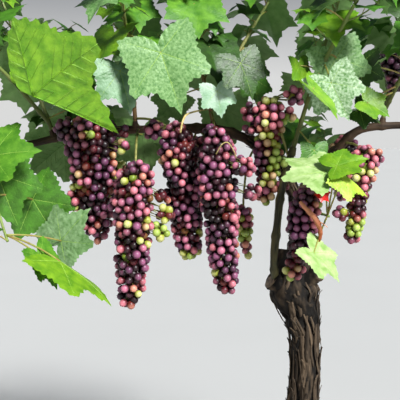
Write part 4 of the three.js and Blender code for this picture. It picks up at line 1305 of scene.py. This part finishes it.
def add_tendrils(heap, joints, seed):
    """Tendrils from some joints, high on the shoots: a thread that runs out and then coils, as
    start + out·reach·s + a circle that tightens with s."""
    rng = np.random.default_rng(seed + 5)
    rows = 70
    for path, share, turn in joints:
        chance, grow, coils = rng.random(3)
        if chance > 0.2 or share < 0.5:
            continue
        bearing = turn + 1.6
        out = heading_way(bearing) + 0.25 * UP
        across = np.array([-np.sin(bearing), np.cos(bearing), 0])
        s = np.linspace(0, 1, 44)[:, None]
        reach = 34 + 30 * grow
        curl = np.clip(s - 0.45, 0, 1) * (3.2 + 2 * coils) * TURN
        ring = 6.5 * np.clip((s - 0.3) / 0.2, 0, 1) * (1.1 - 0.7 * s)
        coil = ring * (np.sin(curl) * across + (np.cos(curl) - 1) * UP)
        thread = Path(path.at(min(share, 0.99)) + out * reach * s + coil)
        tube(heap, thread, 0.75 - 0.4 * np.linspace(0, 1, rows)[:, None], rows, 4, 2)


# Pot, soil and small finds.
def turned(profile, columns):
    """A profile of (radius, height) turned round the upright axis, as places and faces. Its first and last
    points lie on the axis."""
    profile = np.array(profile, float)
    radius, height = profile[1:-1, 0][:, None], profile[1:-1, 1][:, None]
    angle = np.arange(columns)[None] * TURN / columns
    ring = np.stack([radius * np.cos(angle), radius * np.sin(angle), height + 0 * angle], -1)
    ends = np.array([[0, 0, profile[0, 1]], [0, 0, profile[-1, 1]]])
    return np.vstack([ring.reshape(-1, 3), ends]), skin_faces(len(profile) - 2, columns)


def smoothed(profile, step):
    """A profile with points added along its longer sides."""
    points = [np.array(profile[0], float)]
    for a, b in zip(np.array(profile[:-1], float), np.array(profile[1:], float)):
        cuts = max(1, int(np.linalg.norm(b - a) / step))
        points += [a + (b - a) * (i + 1) / cuts for i in range(cuts)]
    return points


def build_pot():
    """The clay pot: its profile turned in 160 steps with faint throwing rings, less the drain holes."""
    places, faces = turned(smoothed(POT_PROFILE, 9), 160)
    far, height = np.hypot(places[:, 0], places[:, 1]), places[:, 2]
    outside = (far > 140) & (height > 8) & (height < 312)
    ring = 1 + np.where(outside, 0.0014 * np.sin(height / 4.1) + 0.001 * np.sin(height / 11), 0)
    places[:, :2] *= ring[:, None]
    heap = Heap()
    heap.add(places, faces)
    skin = clay_finish()
    pot = heap.piece("clay_pot", [skin], "clay", "pot")
    holes = Heap()
    for i in range(DRAIN["count"]):
        turn = i * TURN / DRAIN["count"]
        x, y = DRAIN["from"] * np.cos(turn), DRAIN["from"] * np.sin(turn)
        tube(holes, Path([(x, y, -10), (x, y, 10), (x, y, 30)]), DRAIN["radius"], 2, 40)
    cutter = holes.piece("drill", [skin], "clay")
    cut = pot.modifiers.new("Drain holes", "BOOLEAN")
    cut.object = cutter
    drilled = bpy.data.meshes.new_from_object(pot.evaluated_get(bpy.context.evaluated_depsgraph_get()))
    pot.modifiers.clear()
    pot.data = drilled
    bpy.data.objects.remove(cutter)


def build_soil():
    """The soil: a turned body whose top is level at the trunk and a little lower at the wall, with lumps for
    clods, and loose crumbs on it."""
    clods = sizes()["clods"]
    columns, rings = 150, 60
    angle = np.arange(columns)[None] * TURN / columns
    far = np.linspace(SOIL_PROFILE[-1][0], 2, rings)[:, None]
    level = SOIL_TOP + np.interp(far, *zip(*SOIL_PROFILE))
    x, y = far * np.cos(angle), far * np.sin(angle)
    bumps = lumps(x / 400 + 0.5, y / 17 + 40, 23, 71) + 0.6 * lumps(x / 400 + 0.5, y / 7 + 90, 57, 72)
    top = np.stack([x, y, level + clods * (0.6 * bumps - 0.7) * np.clip((171 - far) / 6, 0, 1)], -1)
    wall = [np.stack([r * np.cos(angle), r * np.sin(angle), z + 0 * angle], -1) for r, z in SOIL_WALL]
    body = np.concatenate([np.stack([w[0] for w in wall]), top])
    ends = np.array([[0, 0, SOIL_WALL[0][1]], [0, 0, SOIL_TOP - 1]])
    heap = Heap()
    heap.add(np.vstack([body.reshape(-1, 3), ends]), skin_faces(len(body), columns))
    rng, (ball, faces) = np.random.default_rng(8), grape_ball()
    turn = rng.uniform(0, TURN, CRUMBS)
    away = np.sqrt(rng.uniform(0.14, 1, CRUMBS)) * CRUMB_REACH
    size = rng.gamma(2.2, 0.9, CRUMBS).clip(0.8, 6)
    rest = SOIL_TOP + np.interp(away, *zip(*SOIL_PROFILE)) - 1.5
    middle = np.stack([away * np.cos(turn), away * np.sin(turn), rest], -1)
    rough = 1 + rng.normal(0, 0.12, (CRUMBS, len(ball)))
    heap.add(middle[:, None] + ball[None] * (rough * size[:, None])[..., None], [faces])
    heap.piece("potting_soil", [soil_finish()], "soil", "soil")


def build_small_finds():
    """A dried curl of stem, orange-brown, before the trunk, a straw-coloured stalk and thread among the
    middle bunches, and a scrap of red leaf."""
    heap = Heap()
    rows, columns = 90, 14
    share = np.linspace(0, 1, rows)[:, None]
    knobs = 3.2 + 2.2 * np.sin(np.pi * share) + 0.9 * np.exp(-(((share - 0.55) / 0.05) ** 2)) - 1.4 * share
    creases = 0.9 * lumps(np.arange(columns)[None] / columns, share * 16, 5, 3)
    tube(heap, Path(DRIED_STEM), knobs + creases, rows, columns, 0, np.clip(0.9 - 0.8 * share, 0, 1))
    tube(heap, Path(DRIED_SPUR), 1.2 - 0.6 * np.linspace(0, 1, 12)[:, None], 12, 6, 0, 0.95)
    dried = material("dried stem", colour(214, 142, 104), colour(142, 70, 26), 160, depth=0.7, rough=0.7)
    heap.piece("dried_stem", [dried], "bark")
    heap = Heap()
    rows = 40
    share = np.linspace(0, 1, rows)[:, None]
    knot = 0.3 * np.exp(-(((share - 0.3) / 0.06) ** 2))
    tube(heap, Path(STRAW_STALK), 2.1 - 0.5 * share + knot, rows, 10)
    tube(heap, Path(STRAW_THREAD), 1.3 - 0.5 * share, rows, 6)
    straw = material("straw stalk", colour(222, 202, 138), colour(168, 150, 82), 150, rough=0.6)
    heap.piece("straw_stalk", [straw], "bark")
    heap = Heap()
    add_blades(heap, gathered([RED_SCRAP]), SMALL, 2, np.array([0]), 0)
    red = material("red leaf", colour(228, 30, 14), colour(186, 14, 8), 120, rough=0.4)
    heap.piece("red_leaf_scrap", [red], "leaf")


def build_floor():
    """The studio floor: a wide disc under the pot, in a material with hardly any grain."""
    count, reach = FLOOR["corners"], FLOOR["reach"]
    angle = np.arange(count) * TURN / count
    rim = np.stack([reach * np.cos(angle), reach * np.sin(angle), 0 * angle], -1)
    under = [tuple(corner - (0, 0, FLOOR["thick"])) for corner in rim]
    mesh = bpy.data.meshes.new("studio_floor")
    mesh.from_pydata([tuple(corner) for corner in rim] + under, [], floor_faces(count))
    pale = colour_of("floor")
    skin = material("studio floor", pale, toned(pale, 0.97), 1.0, rough=0.7, relief=0.02, gloss=0.1)
    mesh.materials.append(skin)
    floor = bpy.data.objects.new("studio_floor", mesh)
    bpy.context.scene.collection.objects.link(floor)


def floor_faces(count):
    """Faces of a flat disc: its top, its underside and its edge."""
    side = [(i, i + count, (i + 1) % count + count, (i + 1) % count) for i in range(count)]
    return [tuple(range(count)), tuple(range(2 * count - 1, count - 1, -1))] + side


def build_world():
    """A sky that is pale at the horizon, and darker and a little bluer higher up."""
    world = bpy.data.worlds.new("studio")
    world.use_nodes = True
    nodes, links = world.node_tree.nodes, world.node_tree.links
    sky, place = nodes["Background"], nodes.new("ShaderNodeTexCoord")
    part, height = nodes.new("ShaderNodeSeparateXYZ"), nodes.new("ShaderNodeMapRange")
    tint = nodes.new("ShaderNodeMix")
    tint.data_type = "RGBA"
    height.inputs["From Min"].default_value, height.inputs["From Max"].default_value = 0.04, 0.22
    tint.inputs["A"].default_value, tint.inputs["B"].default_value = (*HORIZON, 1), (*ZENITH, 1)
    links.new(place.outputs["Generated"], part.inputs["Vector"])
    links.new(part.outputs["Z"], height.inputs["Value"])
    links.new(height.outputs["Result"], tint.inputs["Factor"])
    links.new(tint.outputs["Result"], sky.inputs["Color"])
    bpy.context.scene.world = world


def hang_lamp(name, kind, power, place, towards):
    """Makes a lamp that points from a place towards another."""
    lamp = bpy.data.lights.new(name, kind)
    lamp.energy = power
    made = bpy.data.objects.new(name, lamp)
    made.location = place
    made.rotation_euler = (Vector(towards) - Vector(place)).to_track_quat("-Z", "Y").to_euler()
    bpy.context.scene.collection.objects.link(made)
    return lamp


def build_stage():
    """The studio: floor, sky, a sun from the upper right, a weak fill, and the camera, which looks down by
    7° at the fruit."""
    build_floor()
    build_world()
    hang_lamp("sun", "SUN", SUN["power"], SUN["from"], (0, 0, 0)).angle = np.radians(SUN["disc"])
    hang_lamp("fill", "AREA", FILL["power"], FILL["from"], FILL["towards"]).size = FILL["width"]
    scene = bpy.context.scene
    lens = bpy.data.cameras.new("camera")
    lens.lens, lens.sensor_width = CAMERA["lens"], CAMERA["sensor"]
    camera = bpy.data.objects.new("camera", lens)
    camera.location = CAMERA["from"]
    camera.rotation_euler = (np.radians(90 - CAMERA["down"]), 0, 0)
    scene.collection.objects.link(camera)
    scene.camera = camera
    scene.view_settings.view_transform = "Standard"


class VINE_OT_pot(bpy.types.Operator):
    """Build the clay pot and its soil"""

    bl_idname = "vine.pot"
    bl_label = "Pot and soil"

    def execute(self, context):
        build_pot()
        build_soil()
        return {"FINISHED"}


class VINE_OT_wood(bpy.types.Operator):
    """Build the bark of the trunk, arms and canes"""

    bl_idname = "vine.wood"
    bl_label = "Trunk and canes"

    def execute(self, context):
        build_trunk()
        for number, name in enumerate(LIMBS):
            build_limb(name, 40 + 7 * number)
        return {"FINISHED"}


class VINE_OT_bunches(bpy.types.Operator):
    """Build the bunches of grapes and their stalks"""

    bl_idname = "vine.bunches"
    bl_label = "Bunches"

    def execute(self, context):
        for name in BUNCHES:
            build_bunch(name)
        return {"FINISHED"}


class VINE_OT_leaves(bpy.types.Operator):
    """Build the leaves, shoots and tendrils"""

    bl_idname = "vine.leaves"
    bl_label = "Leaves and shoots"

    def execute(self, context):
        for name in MASSES:
            build_mass(name)
        return {"FINISHED"}


class VINE_OT_finds(bpy.types.Operator):
    """Build the dried stem, the straw stalk and the red scrap of leaf"""

    bl_idname = "vine.finds"
    bl_label = "Dried stem, straw and red scrap"

    def execute(self, context):
        build_small_finds()
        return {"FINISHED"}


class VINE_OT_stage(bpy.types.Operator):
    """Build the floor, lights and camera"""

    bl_idname = "vine.stage"
    bl_label = "Studio"

    def execute(self, context):
        build_stage()
        return {"FINISHED"}


OPERATORS = [VINE_OT_pot, VINE_OT_wood, VINE_OT_bunches, VINE_OT_leaves, VINE_OT_finds, VINE_OT_stage]


class VINE_PT_parts(bpy.types.Panel):
    """Lists the vine's parts, sizes and colours"""

    bl_idname = "VINE_PT_parts"
    bl_label = "Grapevine"
    bl_space_type = "VIEW_3D"
    bl_region_type = "UI"
    bl_category = "Grapevine"

    def draw(self, context):
        for operator in OPERATORS:
            self.layout.operator(operator.bl_idname)
        for group in (context.scene.vine_sizes, context.scene.vine_colours):
            for name in group.bl_rna.properties.keys():
                if name not in ("rna_type", "name"):
                    self.layout.prop(group, name)


CLASSES = [VineSizes, VineColours, *OPERATORS, VINE_PT_parts]


def register():
    """Registers the classes and the settings."""
    for made in CLASSES:
        bpy.utils.register_class(made)
    bpy.types.Scene.vine_sizes = PointerProperty(type=VineSizes)
    bpy.types.Scene.vine_colours = PointerProperty(type=VineColours)


def unregister():
    """Removes the settings and the classes."""
    del bpy.types.Scene.vine_colours
    del bpy.types.Scene.vine_sizes
    for made in reversed(CLASSES):
        bpy.utils.unregister_class(made)


def main():
    register()
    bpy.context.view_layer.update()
    bpy.ops.vine.pot()
    bpy.ops.vine.wood()
    bpy.ops.vine.bunches()
    bpy.ops.vine.leaves()
    bpy.ops.vine.finds()
    bpy.ops.vine.stage()
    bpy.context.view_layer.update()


if __name__ == "__main__":
    main()
